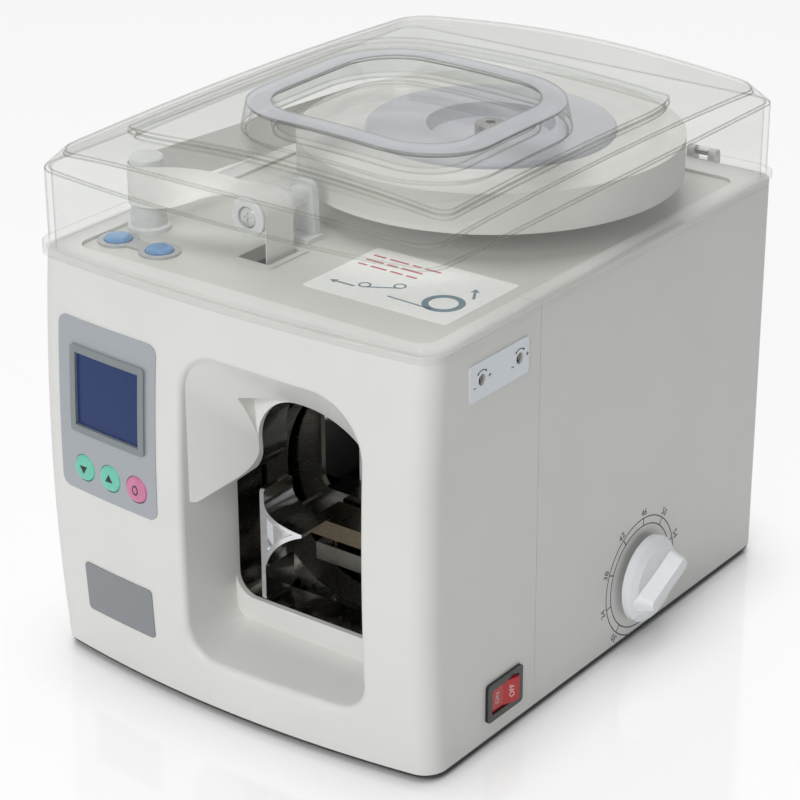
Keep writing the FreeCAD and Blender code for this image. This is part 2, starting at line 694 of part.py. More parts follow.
def foot(x, y):
    pad = turned("z", (x, y), [(0, 0), (FOOT_R - 1.4, 0), (FOOT_R, 1.2), (FOOT_R, FOOT_H),
                               (2.5, FOOT_H), (2.5, Z_BASE + 0.1), (4.0, Z_BASE + 0.1),
                               (2.4, Z_BASE + 2.4), (0, Z_BASE + 2.4)])
    return pad


def top_deck():
    low = LEDGE_Z - DECK_T
    deck = fused(deck_opening(FIT, (low, DECK_Z)), deck_opening(-DECK_LAP, (low, LEDGE_Z)))
    deck = deck.cut(deck_opening(FIT + DECK_T, (low - 1, DECK_Z - DECK_T)))
    slot = rect(SLOT_X, (TAPE_Y - SLOT_L / 2, TAPE_Y + SLOT_L / 2), 1.5)
    deck = deck.cut(slab("xy", (low - 5, DECK_Z + 5), slot))
    for centre in BUTTONS:
        deck = deck.cut(rod("z", centre, BUTTON_R + FIT, (low - 5, DECK_Z + 5)))
    deck = deck.cut(rod("z", REEL_C, 3.0, (low - 5, DECK_Z + 5)))
    return fused(deck, slot_rim())


def slot_rim():
    """Raised edge and short walls of the slot that the tape goes down."""
    ys = (TAPE_Y - SLOT_L / 2, TAPE_Y + SLOT_L / 2)
    rim = slab("xy", (DECK_Z, DECK_Z + 0.8), rect(grow_span(SLOT_X, 2.2), grow_span(ys, 2.2), 2.5))
    neck = slab("xy", (DECK_Z - 6.0, DECK_Z), rect(SLOT_X, ys, 1.5))
    hole = rect(grow_span(SLOT_X, -1.2), grow_span(ys, -1.2), 0.6)
    return fused(rim, neck).cut(slab("xy", (DECK_Z - 8, DECK_Z + 3), hole))


# ---------------------------------------------------------------- clear cover
def bowed(z, half, ys, bows, r):
    """Closed wire with four gently bowed sides and smooth corners, at height z."""
    mid_y, half_y = (ys[0] + ys[1]) / 2, (ys[1] - ys[0]) / 2
    front, right, back = bows

    def side(kind, t):
        if kind == "front":
            x = -half + r + t * 2 * (half - r)
            return Vector(x, ys[0] - front * (1 - (x / half) ** 2), z)
        if kind == "back":
            x = half - r - t * 2 * (half - r)
            return Vector(x, ys[1] + back * (1 - (x / half) ** 2), z)
        run = half_y - r
        y = mid_y - run + t * 2 * run if kind == "right" else mid_y + run - t * 2 * run
        reach = half + right * (1 - ((y - mid_y) / half_y) ** 2)
        return Vector(reach if kind == "right" else -reach, y, z)

    order = ("front", "right", "back", "left")
    edges = []
    for i, kind in enumerate(order):
        a, m, b = side(kind, 0), side(kind, 0.5), side(kind, 1)
        pole = m * 2 - (a + b) * 0.5
        edges.append(bezier(a, pole, b))
        following = order[(i + 1) % 4]
        start = side(following, 0)
        ahead = (b - pole).normalize()
        away = (side(following, 0.5) * 2 - (start + side(following, 1)) * 0.5 - start).normalize()
        reach = 0.5523 * r
        edges.append(bezier(b, b + ahead * reach, start - away * reach, start))
    return Part.Wire(edges)


def cover_form(inset):
    """Outer form of the cover's walls and sloped shoulder, running on past its top."""
    half, ys = CASE_W / 2 - inset, (inset, CASE_D - inset)
    top = Z_RIM + COVER_WALL_H
    rise = 24.0
    slope = COVER_CHAMFER / COVER_CHAMFER_H
    drawn = slope * rise
    mid_front = (COVER_CHAMFER + COVER_WALL_BOW - COVER_BOW) / (COVER_CHAMFER_H + COVER_CROWN_X)
    mid_side = COVER_CHAMFER / (COVER_CHAMFER_H + COVER_CROWN_Y)
    bows = (COVER_WALL_BOW + drawn - mid_front * rise, drawn - mid_side * rise, drawn - mid_front * rise)
    low = bowed(Z_RIM - 1, half, ys, (BOW_RIM, 0.01, 0.01), FRONT_R - inset)
    middle = bowed(top, half, ys, (COVER_WALL_BOW, 0.01, 0.01), FRONT_R - inset)
    high = bowed(top + rise, half - drawn, (ys[0] + drawn, ys[1] - drawn), bows,
                 FRONT_R - inset)
    return Part.makeLoft([low, middle, high], True, True)


def crown(up):
    """Everything below the cover's crowned top, raised by up."""
    half_x = CASE_W / 2 - COVER_CHAMFER
    mid_y, half_y = CASE_D / 2, CASE_D / 2 - COVER_CHAMFER
    reach_x, reach_y = 140.0, 190.0
    end_x = -COVER_CROWN_X * ((reach_x / half_x) ** 2 - 1)
    end_y = -COVER_CROWN_Y * ((reach_y / half_y) ** 2 - 1)
    level = Z_RIM + COVER_WALL_H + COVER_CHAMFER_H + up
    shape_x = (end_x, 2 * COVER_CROWN_X - end_x, end_x)
    shape_y = (end_y, 2 * COVER_CROWN_Y - end_y, end_y)
    rows = []
    for i in range(3):
        rows.append([Vector((i - 1) * reach_x, mid_y + (j - 1) * reach_y,
                            level + shape_x[i] + shape_y[j]) for j in range(3)])
    floor = Z_RIM - 30
    foot_at = {(i, j): Vector(rows[i][j].x, rows[i][j].y, floor) for i in (0, 2) for j in (0, 2)}
    post = {key: Part.makeLine(rows[key[0]][key[1]], spot) for key, spot in foot_at.items()}
    arch = {"a": bezier(*rows[0]), "b": bezier(*rows[2]),
            "c": bezier(*[row[0] for row in rows]), "d": bezier(*[row[2] for row in rows])}
    base = {"a": Part.makeLine(foot_at[0, 0], foot_at[0, 2]),
            "b": Part.makeLine(foot_at[2, 0], foot_at[2, 2]),
            "c": Part.makeLine(foot_at[0, 0], foot_at[2, 0]),
            "d": Part.makeLine(foot_at[0, 2], foot_at[2, 2])}
    faces = [patch(rows), flat(*base.values()),
             flat(arch["a"], base["a"], post[0, 0], post[0, 2]),
             flat(arch["b"], base["b"], post[2, 0], post[2, 2]),
             flat(arch["c"], base["c"], post[0, 0], post[2, 0]),
             flat(arch["d"], base["d"], post[0, 2], post[2, 2])]
    return solid_of(faces)


def tapered(size, zs, draw):
    """Upright block of a rounded rectangle, drawn in by draw over its height."""
    w, l, r = size
    low = outline("xy", zs[0], centred(PLATEAU_C, size))
    high = outline("xy", zs[1], centred(PLATEAU_C, (w - 2 * draw, l - 2 * draw, r - draw)))
    return Part.makeLoft([low, high], True, True)


def cover_relief(inset):
    """Raised panel and band of the cover's top, drawn in by inset for the inside."""
    zs = (Z_RIM + COVER_WALL_H - 6, Z_RIM + COVER_WALL_H + 34)
    panel = tapered(shrunk(PLATEAU, inset), zs, 8.0).common(crown(PLATEAU_H - inset))
    ring = tapered(shrunk(BAND_OUT, inset), zs, 8.0)
    w, l, r = BAND_OUT
    inner = (w - 2 * BAND_W - 12.0, l - 2 * BAND_W - 12.0, r - BAND_W - 6.0)
    core = tapered(shrunk(inner, -inset), (zs[0] - 1, zs[1] + 1), -8.4)
    band = ring.cut(core).common(crown(PLATEAU_H + BAND_H - inset))
    return panel, band


def shrunk(size, by):
    return size[0] - 2 * by, size[1] - 2 * by, size[2] - by


def dust_cover():
    low = box((-200, 200), (-60, 400), (Z_RIM + COVER_GAP, Z_RIM + 120))
    panel, band = cover_relief(0)
    outer = cover_form(0).common(crown(0)).common(low)
    outer = outer.fuse([panel.common(low), band.common(low)])
    hollow = cover_form(COVER_T).common(crown(-COVER_T))
    panel_in, band_in = cover_relief(COVER_T)
    hollow = hollow.fuse([panel_in, band_in])
    cover = outer.cut(hollow)
    span = (Z_RIM - LIP_DROP, Z_RIM + LIP_UP)
    ring = lip_ring(span)
    cover = cover.fuse([ring] + hinge_lugs())
    for side in (-1, 1):
        cover = cover.cut(rod("x", (HINGE_Y, HINGE_Z), PIN_R + RUN,
                              (side * HINGE_X - 12, side * HINGE_X + 12)))
    return cover


def lip_ring(zs):
    """Band round the foot of the cover that laps over the casing's rim."""
    swell = surface_y(0, Z_RIM) - surface_y(0, zs[0])

    def wall(gap, at):
        half, ys = CASE_W / 2 + gap, (-gap - swell, CASE_D + gap)
        return [bowed(z, half, ys, (BOW_RIM, 0.01, 0.01), FRONT_R - LIP_EASE + gap) for z in at]
    outer = Part.makeLoft(wall(COVER_GAP + LIP_T, zs), True, True)
    lower = Part.makeLoft(wall(COVER_GAP, (zs[0] - 1, Z_RIM + COVER_GAP)), True, True)
    upper = Part.makeLoft(wall(-COVER_T / 2, (Z_RIM, zs[1] + 1)), True, True)
    ring = outer.cut(lower).cut(upper)
    ring = ring.cut(box((-200, 200), (CASE_D - 10, 400), (0, Z_RIM + COVER_GAP)))
    reach = LUG_W / 2 + FIT + EAR_W + 1.0
    for side in (-1, 1):
        ring = ring.cut(box((side * HINGE_X - reach, side * HINGE_X + reach),
                            (CASE_D + 0.01, 400), (0, 300)))
    return ring


def hinge_lugs():
    lugs = []
    for side in (-1, 1):
        xs = (side * HINGE_X - LUG_W / 2, side * HINGE_X + LUG_W / 2)
        lugs.append(fused(rod("x", (HINGE_Y, HINGE_Z), KNUCKLE_R, xs),
                          box(xs, (CASE_D - 1.5, HINGE_Y), (Z_RIM + COVER_GAP + 0.4,
                                                            HINGE_Z + KNUCKLE_R))))
    return lugs


def hinge_pins():
    reach = LUG_W / 2 + FIT + EAR_W
    return [rod("x", (HINGE_Y, HINGE_Z), PIN_R, (s * HINGE_X - reach, s * HINGE_X + reach))
            for s in (-1, 1)]


# ---------------------------------------------------------------- display and keys
def display_panel():
    panel = skin((0.0, 0.6), rect(PANEL_X, PANEL_Z, PANEL_R))
    holes = [rod("y", (x, KEY_Z), KEY_R + FIT, (-30, 10)) for x in KEY_X]
    window = slab("xz", (-40, 10), rect(*lcd_window()))
    return panel.cut(fused(window, *holes))


def lcd_frame():
    ring = skin((0.6, 1.8), rect(LCD_FRAME_X, LCD_FRAME_Z, 2.0))
    return ring.cut(slab("xz", (-40, 20), rect(*lcd_window())))


def lcd_glass():
    xs, zs = lcd_window()
    return skin((-1.4, 0.4), rect(grow_span(xs, -FIT), grow_span(zs, -FIT)))


def lcd_module():
    xs, zs = lcd_window()
    body = box(grow_span(xs, 2.0), (BOARD_Y - 3.9, BOARD_Y), grow_span(zs, 1.5))
    return fused(body, box(grow_span(xs, -3.0), (BOARD_Y - 4.6, BOARD_Y - 3.9),
                           grow_span(zs, -3.0)))


def display_board():
    board = box(grow_span(PANEL_X, -1.5), (BOARD_Y, BOARD_Y + BOARD_T), grow_span(PANEL_Z, -2.0))
    for x in (PANEL_X[0] + 5, PANEL_X[1] - 5):
        for z in (PANEL_Z[0] + 6, PANEL_Z[1] - 6):
            board = board.cut(rod("y", (x, z), 1.4, (BOARD_Y - 2, BOARD_Y + 4)))
    switches = [box((x - 3, x + 3), (BOARD_Y - SWITCH_TALL, BOARD_Y), (KEY_Z - 3, KEY_Z + 3))
                for x in KEY_X]
    back, x0, z0 = BOARD_Y + BOARD_T, PANEL_X[0], PANEL_Z[0]
    chip = box((x0 + 25.0, x0 + 43.0), (back, back + 2.2), (z0 + 44.0, z0 + 56.0))
    plug = box((x0 + 10.0, x0 + 30.0), (back, back + 6.0), (z0 + 68.0, z0 + 74.0))
    return fused(board, chip, plug, lcd_module(), *switches)


def key(x):
    face = surface_y(x, KEY_Z) - 1.5
    rear = BOARD_Y - SWITCH_TALL - KEY_TRAVEL - 0.1
    return turned("y", (x, KEY_Z), [(0, face - 0.35), (KEY_R - 2.4, face - 0.2),
                                    (KEY_R - 0.7, face + 0.3), (KEY_R, face + 1.2),
                                    (KEY_R, face + 4.5), (2.2, face + 4.5), (2.2, rear),
                                    (0, rear)])


# ---------------------------------------------------------------- controls of the right side
def adjust_plate():
    plate = slab("yz", (CASE_W / 2, CASE_W / 2 + ADJ_T), rect(ADJ_Y, ADJ_Z, 2.0))
    for y in TRIM_Y:
        plate = plate.cut(rod("x", (y, TRIM_Z), TRIM_R + 0.5, (CASE_W / 2 - 5, CASE_W / 2 + 5)))
    return plate


def trimmer(y):
    tip = CASE_W / 2 - 0.6
    screw = rod("x", (y, TRIM_Z), TRIM_R, (TRIM_BODY_X[1] - 5.0, tip))
    return screw.cut(box((tip - 1.2, tip + 1), (y - 0.45, y + 0.45), (TRIM_Z - 4, TRIM_Z + 4)))


def trimmer_board():
    """Small board with the two trimmer bodies, held on two wall posts."""
    board = box((TRIM_BODY_X[0] - BOARD_T, TRIM_BODY_X[0]), grow_span(ADJ_Y, -2.0), ADJ_Z)
    bodies = []
    for y in TRIM_Y:
        body = box(TRIM_BODY_X, (y - 4.8, y + 4.8), (TRIM_Z - 4.8, TRIM_Z + 4.8))
        bodies.append(body.cut(rod("x", (y, TRIM_Z), TRIM_R + RUN,
                                   (TRIM_BODY_X[1] - 5.3, TRIM_BODY_X[1] + 1))))
    mid = (ADJ_Y[0] + ADJ_Y[1]) / 2
    post = rod("x", (mid, TRIM_Z), 3.0, (TRIM_BODY_X[0] - 0.1, CASE_W / 2 - WALL))
    return fused(board, post, *bodies)


def switch_body():
    face = CASE_W / 2
    rim = slab("yz", (face, face + SWITCH_PROUD), rect(SWITCH_Y, SWITCH_Z, 2.0))
    back = grow_span(SWITCH_Y, -SWITCH_RIM), grow_span(SWITCH_Z, -SWITCH_RIM)
    tub = slab("yz", (face - SWITCH_DEPTH, face), rect(back[0], back[1], 1.0))
    body = fused(rim, tub)
    well = grow_span(back[0], -1.0), grow_span(back[1], -1.0)
    return body.cut(slab("yz", (face - ROCK_WELL, face + 5), rect(well[0], well[1], 0.6)))


def rocker():
    """Rocker pressed in at one end: two flat faces that meet over its axle."""
    mid = (SWITCH_Y[0] + SWITCH_Y[1]) / 2
    half_y = (SWITCH_Y[1] - SWITCH_Y[0]) / 2 - SWITCH_RIM - 1.0 - 0.8
    zs = grow_span(SWITCH_Z, -SWITCH_RIM - 1.0 - FIT)
    face = CASE_W / 2 + SWITCH_PROUD
    swing = half_y * math.tan(math.radians(ROCK_ANGLE))
    points = [(ROCK_X - 3.0, mid - 4.0), (face - 0.6, mid - half_y), (face + 0.4, mid - half_y + 0.4),
              (face - swing + 0.6, mid), (face + 0.4, mid + half_y - 0.4),
              (face - 0.6, mid + half_y), (ROCK_X - 3.0, mid + 4.0)]
    wire = Part.makePolygon([Vector(x, y, zs[0]) for x, y in points + [points[0]]])
    cap = Part.Face(wire).extrude(Vector(0, 0, zs[1] - zs[0]))
    cap = cap.rotate(Vector(ROCK_X, mid, 0), Vector(0, 0, 1), -ROCK_ANGLE)
    return cap


def knob():
    """Dial knob: flared skirt, raised grip bar, and the bore for its shaft."""
    x0 = KNOB_X
    skirt = turned("x", (KNOB_Y, KNOB_Z), [(0, x0), (KNOB_R, x0), (KNOB_R, x0 + 2.6),
                                           (KNOB_R - 1.2, x0 + 4.0), (KNOB_R - 5.0, x0 + 6.4),
                                           (0, x0 + 6.8)])
    end = x0 + KNOB_H
    half = KNOB_R - 1.6
    low = outline("yz", x0 + 1.0, rect((-half, half), (-8.2, 8.2), 6.0))
    high = outline("yz", end, rect((-half + 4.0, half - 4.0), (-3.4, 3.4), 3.2))
    bar = Part.makeLoft([low, high], True, True)
    bar = bar.common(rod("x", (0, 0), KNOB_R - 0.4, (x0, end + 1)))
    bar.translate(Vector(0, KNOB_Y, KNOB_Z))
    bar = bar.rotate(Vector(0, KNOB_Y, KNOB_Z), Vector(1, 0, 0), KNOB_REST)
    bar = bar.cut(screw_hole())
    whole = fused(skirt, bar)
    return whole.cut(rod("x", (KNOB_Y, KNOB_Z), SHAFT_R, (x0 - 1, x0 + 9.0)))


def screw_hole():
    angle = math.radians(KNOB_REST)
    way = Vector(0, math.cos(angle), math.sin(angle))
    start = Vector(KNOB_X + 7.2, KNOB_Y, KNOB_Z) + way * (KNOB_R + 1)
    return Part.makeCylinder(1.7, 5.0, start, way * -1)


def knob_shaft():
    shaft = rod("x", (KNOB_Y, KNOB_Z), SHAFT_R, (RACK_X[0] - 6.0, KNOB_X + 9.0))
    collar = rod("x", (KNOB_Y, KNOB_Z), SHAFT_R + 3.0, (KNOB_BLOCK_X[1] + 0.4, KNOB_BLOCK_X[1] + 4))
    return fused(shaft, collar, stop_pinion())


def stop_pinion():
    return gear("x", (KNOB_Y, KNOB_Z), grow_span(RACK_X, 0.8), RACK_M, RACK_TEETH, 90.0,
                SHAFT_R)


def knob_block():
    """Bearing block of the knob's shaft, standing on the base plate."""
    plan = box(KNOB_BLOCK_X, (KNOB_Y - 10, KNOB_Y + 10), (Z_BASE, KNOB_Z + 9))
    plan = rounded(plan, 8.0, lambda e: along(Vector(1, 0, 0))(e) and e.CenterOfMass.z > KNOB_Z)
    foot_pad = box(grow_span(KNOB_BLOCK_X, 7.0), (KNOB_Y - 10, KNOB_Y + 10), (Z_BASE, Z_BASE + 3))
    block = fused(plan, foot_pad)
    return block.cut(rod("x", (KNOB_Y, KNOB_Z), SHAFT_R + RUN, (0, 120)))


# ---------------------------------------------------------------- note passage
def throat_liner():
    ys = (THROAT_Y + WALL, THROAT_Y + WALL + LINER_L)
    tube = throat(LINER_T, ys).cut(throat(0.05, (ys[0] - 1, ys[1] + 1)))
    flange = throat(5.0, (ys[0], ys[0] + LINER_T)).cut(throat(0.05, (ys[0] - 1, ys[1] + 1)))
    return fused(tube, flange)


def note_guide():
    """Upright guide with a hollow-sided shelf rib, bridged through the ring to the frame."""
    left, right = GUIDE_X, GUIDE_X + GUIDE_T
    top, low = GUIDE_Z[1], GUIDE_Z[0]
    tip = (GUIDE_TIP_X, SHELF_Z)
    y0, y1 = THROAT_Y - 0.6, THROAT_Y + WALL + LINER_L
    a = Vector(right, y0, SHELF_Z + 11)
    b = Vector(tip[0], y0, tip[1])
    c = Vector(tip[0], y0, tip[1] - 1.6)
    d = Vector(right, y0, SHELF_Z - 24)
    upper = bezier(a, Vector(right + 0.5, y0, SHELF_Z + 0.6), b)
    lower = bezier(c, Vector(right + 4.5, y0, SHELF_Z - 9.0), d)
    rib = Part.Face(Part.Wire([upper, Part.makeLine(b, c), lower, Part.makeLine(d, a)]))
    rib = rib.extrude(Vector(0, y1 - y0, 0))
    plate = slab("yz", (left, right), [(y0, low, 2.0), (y1, low, 2.0), (y1, SHELF_Z - 15, 0),
                                       (PLATE_Y, SHELF_Z - 15, 0), (PLATE_Y, SHELF_Z - SHELF_T, 0),
                                       (y1, SHELF_Z - SHELF_T, 0), (y1, top, 2.0), (y0, top, 2.0)])
    pocket = Part.Face(Part.Wire([bezier(a + Vector(1.6, 0, -8.0), Vector(right + 3.0, y0, SHELF_Z - 0.6),
                                         b + Vector(-5.0, 0, -1.4)),
                                  bezier(b + Vector(-5.0, 0, -1.4),
                                         Vector(right + 5.5, y0, SHELF_Z - 8.0),
                                         d + Vector(1.6, 0, 9.0)),
                                  Part.makeLine(d + Vector(1.6, 0, 9.0), a + Vector(1.6, 0, -8.0))]))
    pocket = pocket.extrude(Vector(0, 2.2, 0))
    pocket.translate(Vector(0, -0.01, 0))
    return fused(plate, rib).cut(pocket)


def note_shelf():
    """Rear table behind the ring, where the notes' ends lie."""
    xs = (GUIDE_X + GUIDE_T + 1.0, SHELF_X)
    table = box(xs, (PLATE_BACK, STOP_SPAN[0] - 2.0), (SHELF_Z - SHELF_T, SHELF_Z))
    lip = box(xs, (PLATE_BACK, PLATE_BACK + 2.0), (ROD_Z + ROD_R + 1.0, SHELF_Z - SHELF_T))
    return fused(table, lip)


# ---------------------------------------------------------------- frame and ring
def frame_plate():
    plate = slab("xz", (PLATE_Y, PLATE_BACK), rect(PLATE_X, (Z_BASE, PLATE_TOP), 3.0))
    foot_pad = box(grow_span(PLATE_X, -4.0), (PLATE_BACK - 1, PLATE_BACK + 12), (Z_BASE, Z_BASE + 3))
    plate = fused(plate, foot_pad)
    plate = plate.cut(slab("xz", (PLATE_Y - 1, PLATE_BACK + 1), rect(WINDOW_X, WINDOW_Z, 6.0)))
    for x, z in roller_centres():
        plate = plate.cut(rod("y", (x, z), AXLE_R, (PLATE_Y - 1, PLATE_BACK + 1)))
    plate = plate.cut(rod("y", PINION_C, 6.0, (PLATE_Y - 1, PLATE_BACK + 1)))
    plate = plate.cut(rod("y", FEED_C, AXLE_R + RUN, (PLATE_Y - 1, PLATE_BACK + 1)))
    plate = plate.cut(rod("y", PINCH_C, AXLE_R + RUN, (PLATE_Y - 1, PLATE_BACK + 1)))
    for x, z in ROD_AT:
        plate = plate.cut(rod("y", (x, z), ROD_R, (PLATE_Y - 1, PLATE_BACK + 1)))
    return fused(plate, note_shelf(), heater_mount())


def roller_centres():
    spots = []
    for angle in ROLLERS_AT:
        a = math.radians(angle)
        reach = TRACK_R + ROLLER_R
        spots.append((RING_X + reach * math.cos(a), RING_Z + reach * math.sin(a)))
    return spots


def winding_ring():
    teeth = gear("y", (RING_X, RING_Z), (RING_Y[0], RING_Y[1]), RING_M, RING_TEETH, PINION_AT,
                 RING_BORE_R)
    track = rod("y", (RING_X, RING_Z), TRACK_R, (RING_Y[1], RING_Y[2]))
    track = track.cut(rod("y", (RING_X, RING_Z), RING_BORE_R, (RING_Y[1] - 1, RING_Y[2] + 1)))
    ring = fused(teeth, track)
    for i in range(12):
        a = math.radians(15 + 30 * i)
        spot = (RING_X + RING_HOLES_R * math.cos(a), RING_Z + RING_HOLES_R * math.sin(a))
        ring = ring.cut(rod("y", spot, 1.6, (RING_Y[0] - 1, RING_Y[0] + 3.0)))
    return ring


def tape_gripper():
    """Finger block on the ring's face that takes the tape's end round the notes."""
    y0 = RING_Y[0] - 3.4
    mid = RING_X, RING_Z + RING_BORE_R + 4.6
    body = box((mid[0] - 11, mid[0] + 11), (y0, RING_Y[0]), (mid[1] - 3.6, mid[1] + 3.2))
    body = rounded(body, 1.5, lambda e: along(Vector(0, 1, 0))(e))
    finger = box((mid[0] - 9, mid[0] - 5), (y0 + 0.8, y0 + 2.6), (mid[1] - 8.0, mid[1]))
    return fused(body, finger)


def ring_roller(centre):
    r = ROLLER_R - FIT
    y0, y1 = RING_Y[1] + 0.5, RING_Y[2] + FIT
    body = turned("y", centre, [(AXLE_R + 2.0, y0), (r - 0.4, y0), (r, y0 + 0.4), (r, y1),
                                (r + 2.0, y1), (r + 2.0, y1 + 1.4), (AXLE_R + RUN, y1 + 1.4),
                                (AXLE_R + RUN, y0 + 2.2), (AXLE_R + 2.0, y0 + 2.2)])
    return body


def roller_axle(centre):
    y0 = RING_Y[1] + 0.8
    return turned("y", centre, [(0, y0), (AXLE_R + 1.6, y0), (AXLE_R + 1.6, y0 + 1.6),
                                (AXLE_R, y0 + 1.6), (AXLE_R, PLATE_BACK), (0, PLATE_BACK)])


def ring_pinion():
    wheel = gear("y", PINION_C, (RING_Y[0], RING_Y[1]), RING_M, PINION_TEETH, PINION_PHASE,
                 SHAFT_R)
    shaft = rod("y", PINION_C, SHAFT_R, (RING_Y[0] - 2, PLATE_BACK + 3.0))
    return fused(wheel, shaft)


def ring_motor():
    half = MOTOR_W / 2
    xs = (PINION_C[0] - half, PINION_C[0] + half)
    zs = (PINION_C[1] - half, PINION_C[1] + half)
    can = slab("xz", (PLATE_BACK, PLATE_BACK + 38.0), rect(xs, zs, 4.0))
    can = can.cut(rod("y", PINION_C, SHAFT_R + RUN, (PLATE_BACK - 1, PLATE_BACK + 4.0)))
    ridge = slab("xz", (PLATE_BACK + 9.0, PLATE_BACK + 29.0),
                 rect(grow_span(xs, 1.0), grow_span(zs, 1.0), 4.0))
    ridge = ridge.cut(slab("xz", (PLATE_BACK + 8.0, PLATE_BACK + 30.0),
                           rect(grow_span(xs, -0.5), grow_span(zs, -0.5), 3.5)))
    return fused(can, ridge)


# ---------------------------------------------------------------- feed, cutter and heater
def feed_roller():
    y0, y1 = TAPE_Y - 8.0, TAPE_Y + 8.0
    drum = turned("y", FEED_C, [(0, y0), (FEED_R - 0.5, y0), (FEED_R, y0 + 0.5),
                                (FEED_R, y1 - 0.5), (FEED_R - 0.5, y1), (0, y1)])
    shaft = rod("y", FEED_C, AXLE_R, (y0 - 2.0, PLATE_BACK + 3.0))
    return fused(drum, shaft)


def pinch_roller():
    y0, y1 = TAPE_Y - 8.0, TAPE_Y + 8.0
    drum = turned("y", PINCH_C, [(0, y0), (PINCH_R - 0.4, y0), (PINCH_R, y0 + 0.4),
                                 (PINCH_R, y1 - 0.4), (PINCH_R - 0.4, y1), (0, y1)])
    shaft = rod("y", PINCH_C, AXLE_R, (y0 - 1.0, PLATE_BACK))
    return fused(drum, shaft)


def feed_motor():
    can = turned("y", FEED_C, [(AXLE_R + RUN, PLATE_BACK), (13.0, PLATE_BACK),
                               (14.0, PLATE_BACK + 1.0), (14.0, PLATE_BACK + 30.0),
                               (12.0, PLATE_BACK + 32.0), (0, PLATE_BACK + 32.0),
                               (0, PLATE_BACK + 4.0), (AXLE_R + RUN, PLATE_BACK + 4.0)])
    return can


def cutter_blade():
    """Sliding blade with its stem, drawn back from the tape."""
    edge = TAPE_X - TAPE_T / 2 - 0.8
    blade = slab("xy", (CUT_Z, CUT_Z + 1.4), [(edge - 14, TAPE_Y - 11, 0), (edge - 2.0, TAPE_Y - 11, 0),
                                              (edge, TAPE_Y + 11, 0), (edge - 14, TAPE_Y + 11, 0)])
    carrier = box((edge - 17, edge - 9), (TAPE_Y - 6, TAPE_Y + 6), (CUT_Z - 5.0, CUT_Z))
    stem = rod("x", (TAPE_Y, CUT_Z - 2.5), 2.0, (edge - 17 - 16, edge - 16))
    return fused(blade, carrier, stem)


def cutter_solenoid():
    edge = TAPE_X - TAPE_T / 2 - 0.8
    high = edge - 17 - 2.0
    body = box((high - 28, high), (TAPE_Y - 9, PLATE_Y), (CUT_Z - 12.0, CUT_Z + 7.0))
    body = rounded(body, 2.0, lambda e: along(Vector(1, 0, 0))(e) and e.CenterOfMass.y < TAPE_Y)
    return body.cut(rod("x", (TAPE_Y, CUT_Z - 2.5), 2.0 + RUN, (high - 22, high + 1)))


def heater():
    """Sealing block under the notes, on its two guide pins."""
    block = box(HEAT_X, (TAPE_Y - 10, TAPE_Y + 10), (SHELF_Z - 13, SHELF_Z - 4))
    block = rounded(block, 1.2, lambda e: along(Vector(0, 1, 0))(e) and e.CenterOfMass.z > SHELF_Z - 6)
    pins = [rod("z", (x, TAPE_Y), 2.0, (SHELF_Z - 26, SHELF_Z - 12)) for x in grow_span(HEAT_X, -7)]
    return fused(block, *pins)


def heater_mount():
    zs = (SHELF_Z - 28, SHELF_Z - 19)
    block = box(HEAT_X, (TAPE_Y - 7, PLATE_Y), zs)
    for x in grow_span(HEAT_X, -7):
        block = block.cut(rod("z", (x, TAPE_Y), 2.0 + RUN, (zs[0] + 1.0, zs[1] + 1)))
    return block


def note_clamp():
    """Presser foot over the notes with its stem."""
    def lower_side(edge):
        return along(Vector(0, 1, 0))(edge) and edge.CenterOfMass.z < CLAMP_Z + 1

    foot_pad = box((RING_X - 20, RING_X + 20), (CLAMP_Y - 5, CLAMP_Y + 5), (CLAMP_Z, CLAMP_Z + 6))
    foot_pad = rounded(foot_pad, 2.5, lower_side)
    stem = rod("z", (RING_X, CLAMP_Y), 3.0, (CLAMP_Z + 5, CLAMP_Z + 46))
    return fused(foot_pad, stem)


def clamp_solenoid():
    zs = (WINDOW_Z[1] + 2.0, WINDOW_Z[1] + 36.0)
    body = box((RING_X - 13, RING_X + 13), (PLATE_BACK, CLAMP_Y + 13), zs)
    body = rounded(body, 2.5, along(Vector(0, 0, 1)))
    return body.cut(rod("z", (RING_X, CLAMP_Y), 3.0 + RUN, (zs[0] - 1, zs[1] - 4)))


# ---------------------------------------------------------------- depth stop
def depth_stop():
    """Stop plate on its slide, with the arm that reaches down to the rack."""
    plate = slab("xz", (STOP_Y, STOP_Y + STOP_T), rect(STOP_X, (ROD_Z - 7, STOP_Z[1]), 4.0))
    slide = box((STOP_X[0], STOP_X[1]), (STOP_Y + STOP_T - 0.5, STOP_Y + 16), (ROD_Z - 7, ROD_Z + 7))
    arm = box(RACK_X, (STOP_Y + 4, STOP_Y + 14), (PITCH_Z + RACK_TALL, ROD_Z - 6))
    whole = fused(plate, slide, arm)
    for x, z in ROD_AT:
        whole = whole.cut(rod("y", (x, z), ROD_R + RUN, (STOP_Y - 5, STOP_Y + 30)))
    return whole


def stop_rack():
    """Toothed bar under the slide's arm, in mesh above the knob's pinion."""
    pitch = math.pi * RACK_M
    y0, y1 = STOP_Y + 4.0, KNOB_Y + 13.0
    bar = box(RACK_X, (y0, y1), (PITCH_Z + 1.2 * RACK_M, PITCH_Z + RACK_TALL))
    teeth = []
    half = pitch / 4 * 0.78
    lean = 0.36 * RACK_M
    low, high = PITCH_Z - 0.8 * RACK_M, PITCH_Z + 1.21 * RACK_M
    count_back = int(RACK_BACK // pitch)
    count_ahead = int(11.0 // pitch)
    for i in range(-count_back, count_ahead + 1):
        mid = KNOB_Y + (i + 0.5) * pitch
        points = [(mid - half - lean, high), (mid - half + lean, low), (mid + half - lean, low),
                  (mid + half + lean, high)]
        wire = Part.makePolygon([Vector(RACK_X[0], y, z) for y, z in points + [points[0]]])
        teeth.append(Part.Face(wire).extrude(Vector(RACK_X[1] - RACK_X[0], 0, 0)))
    return fused(bar, *teeth)


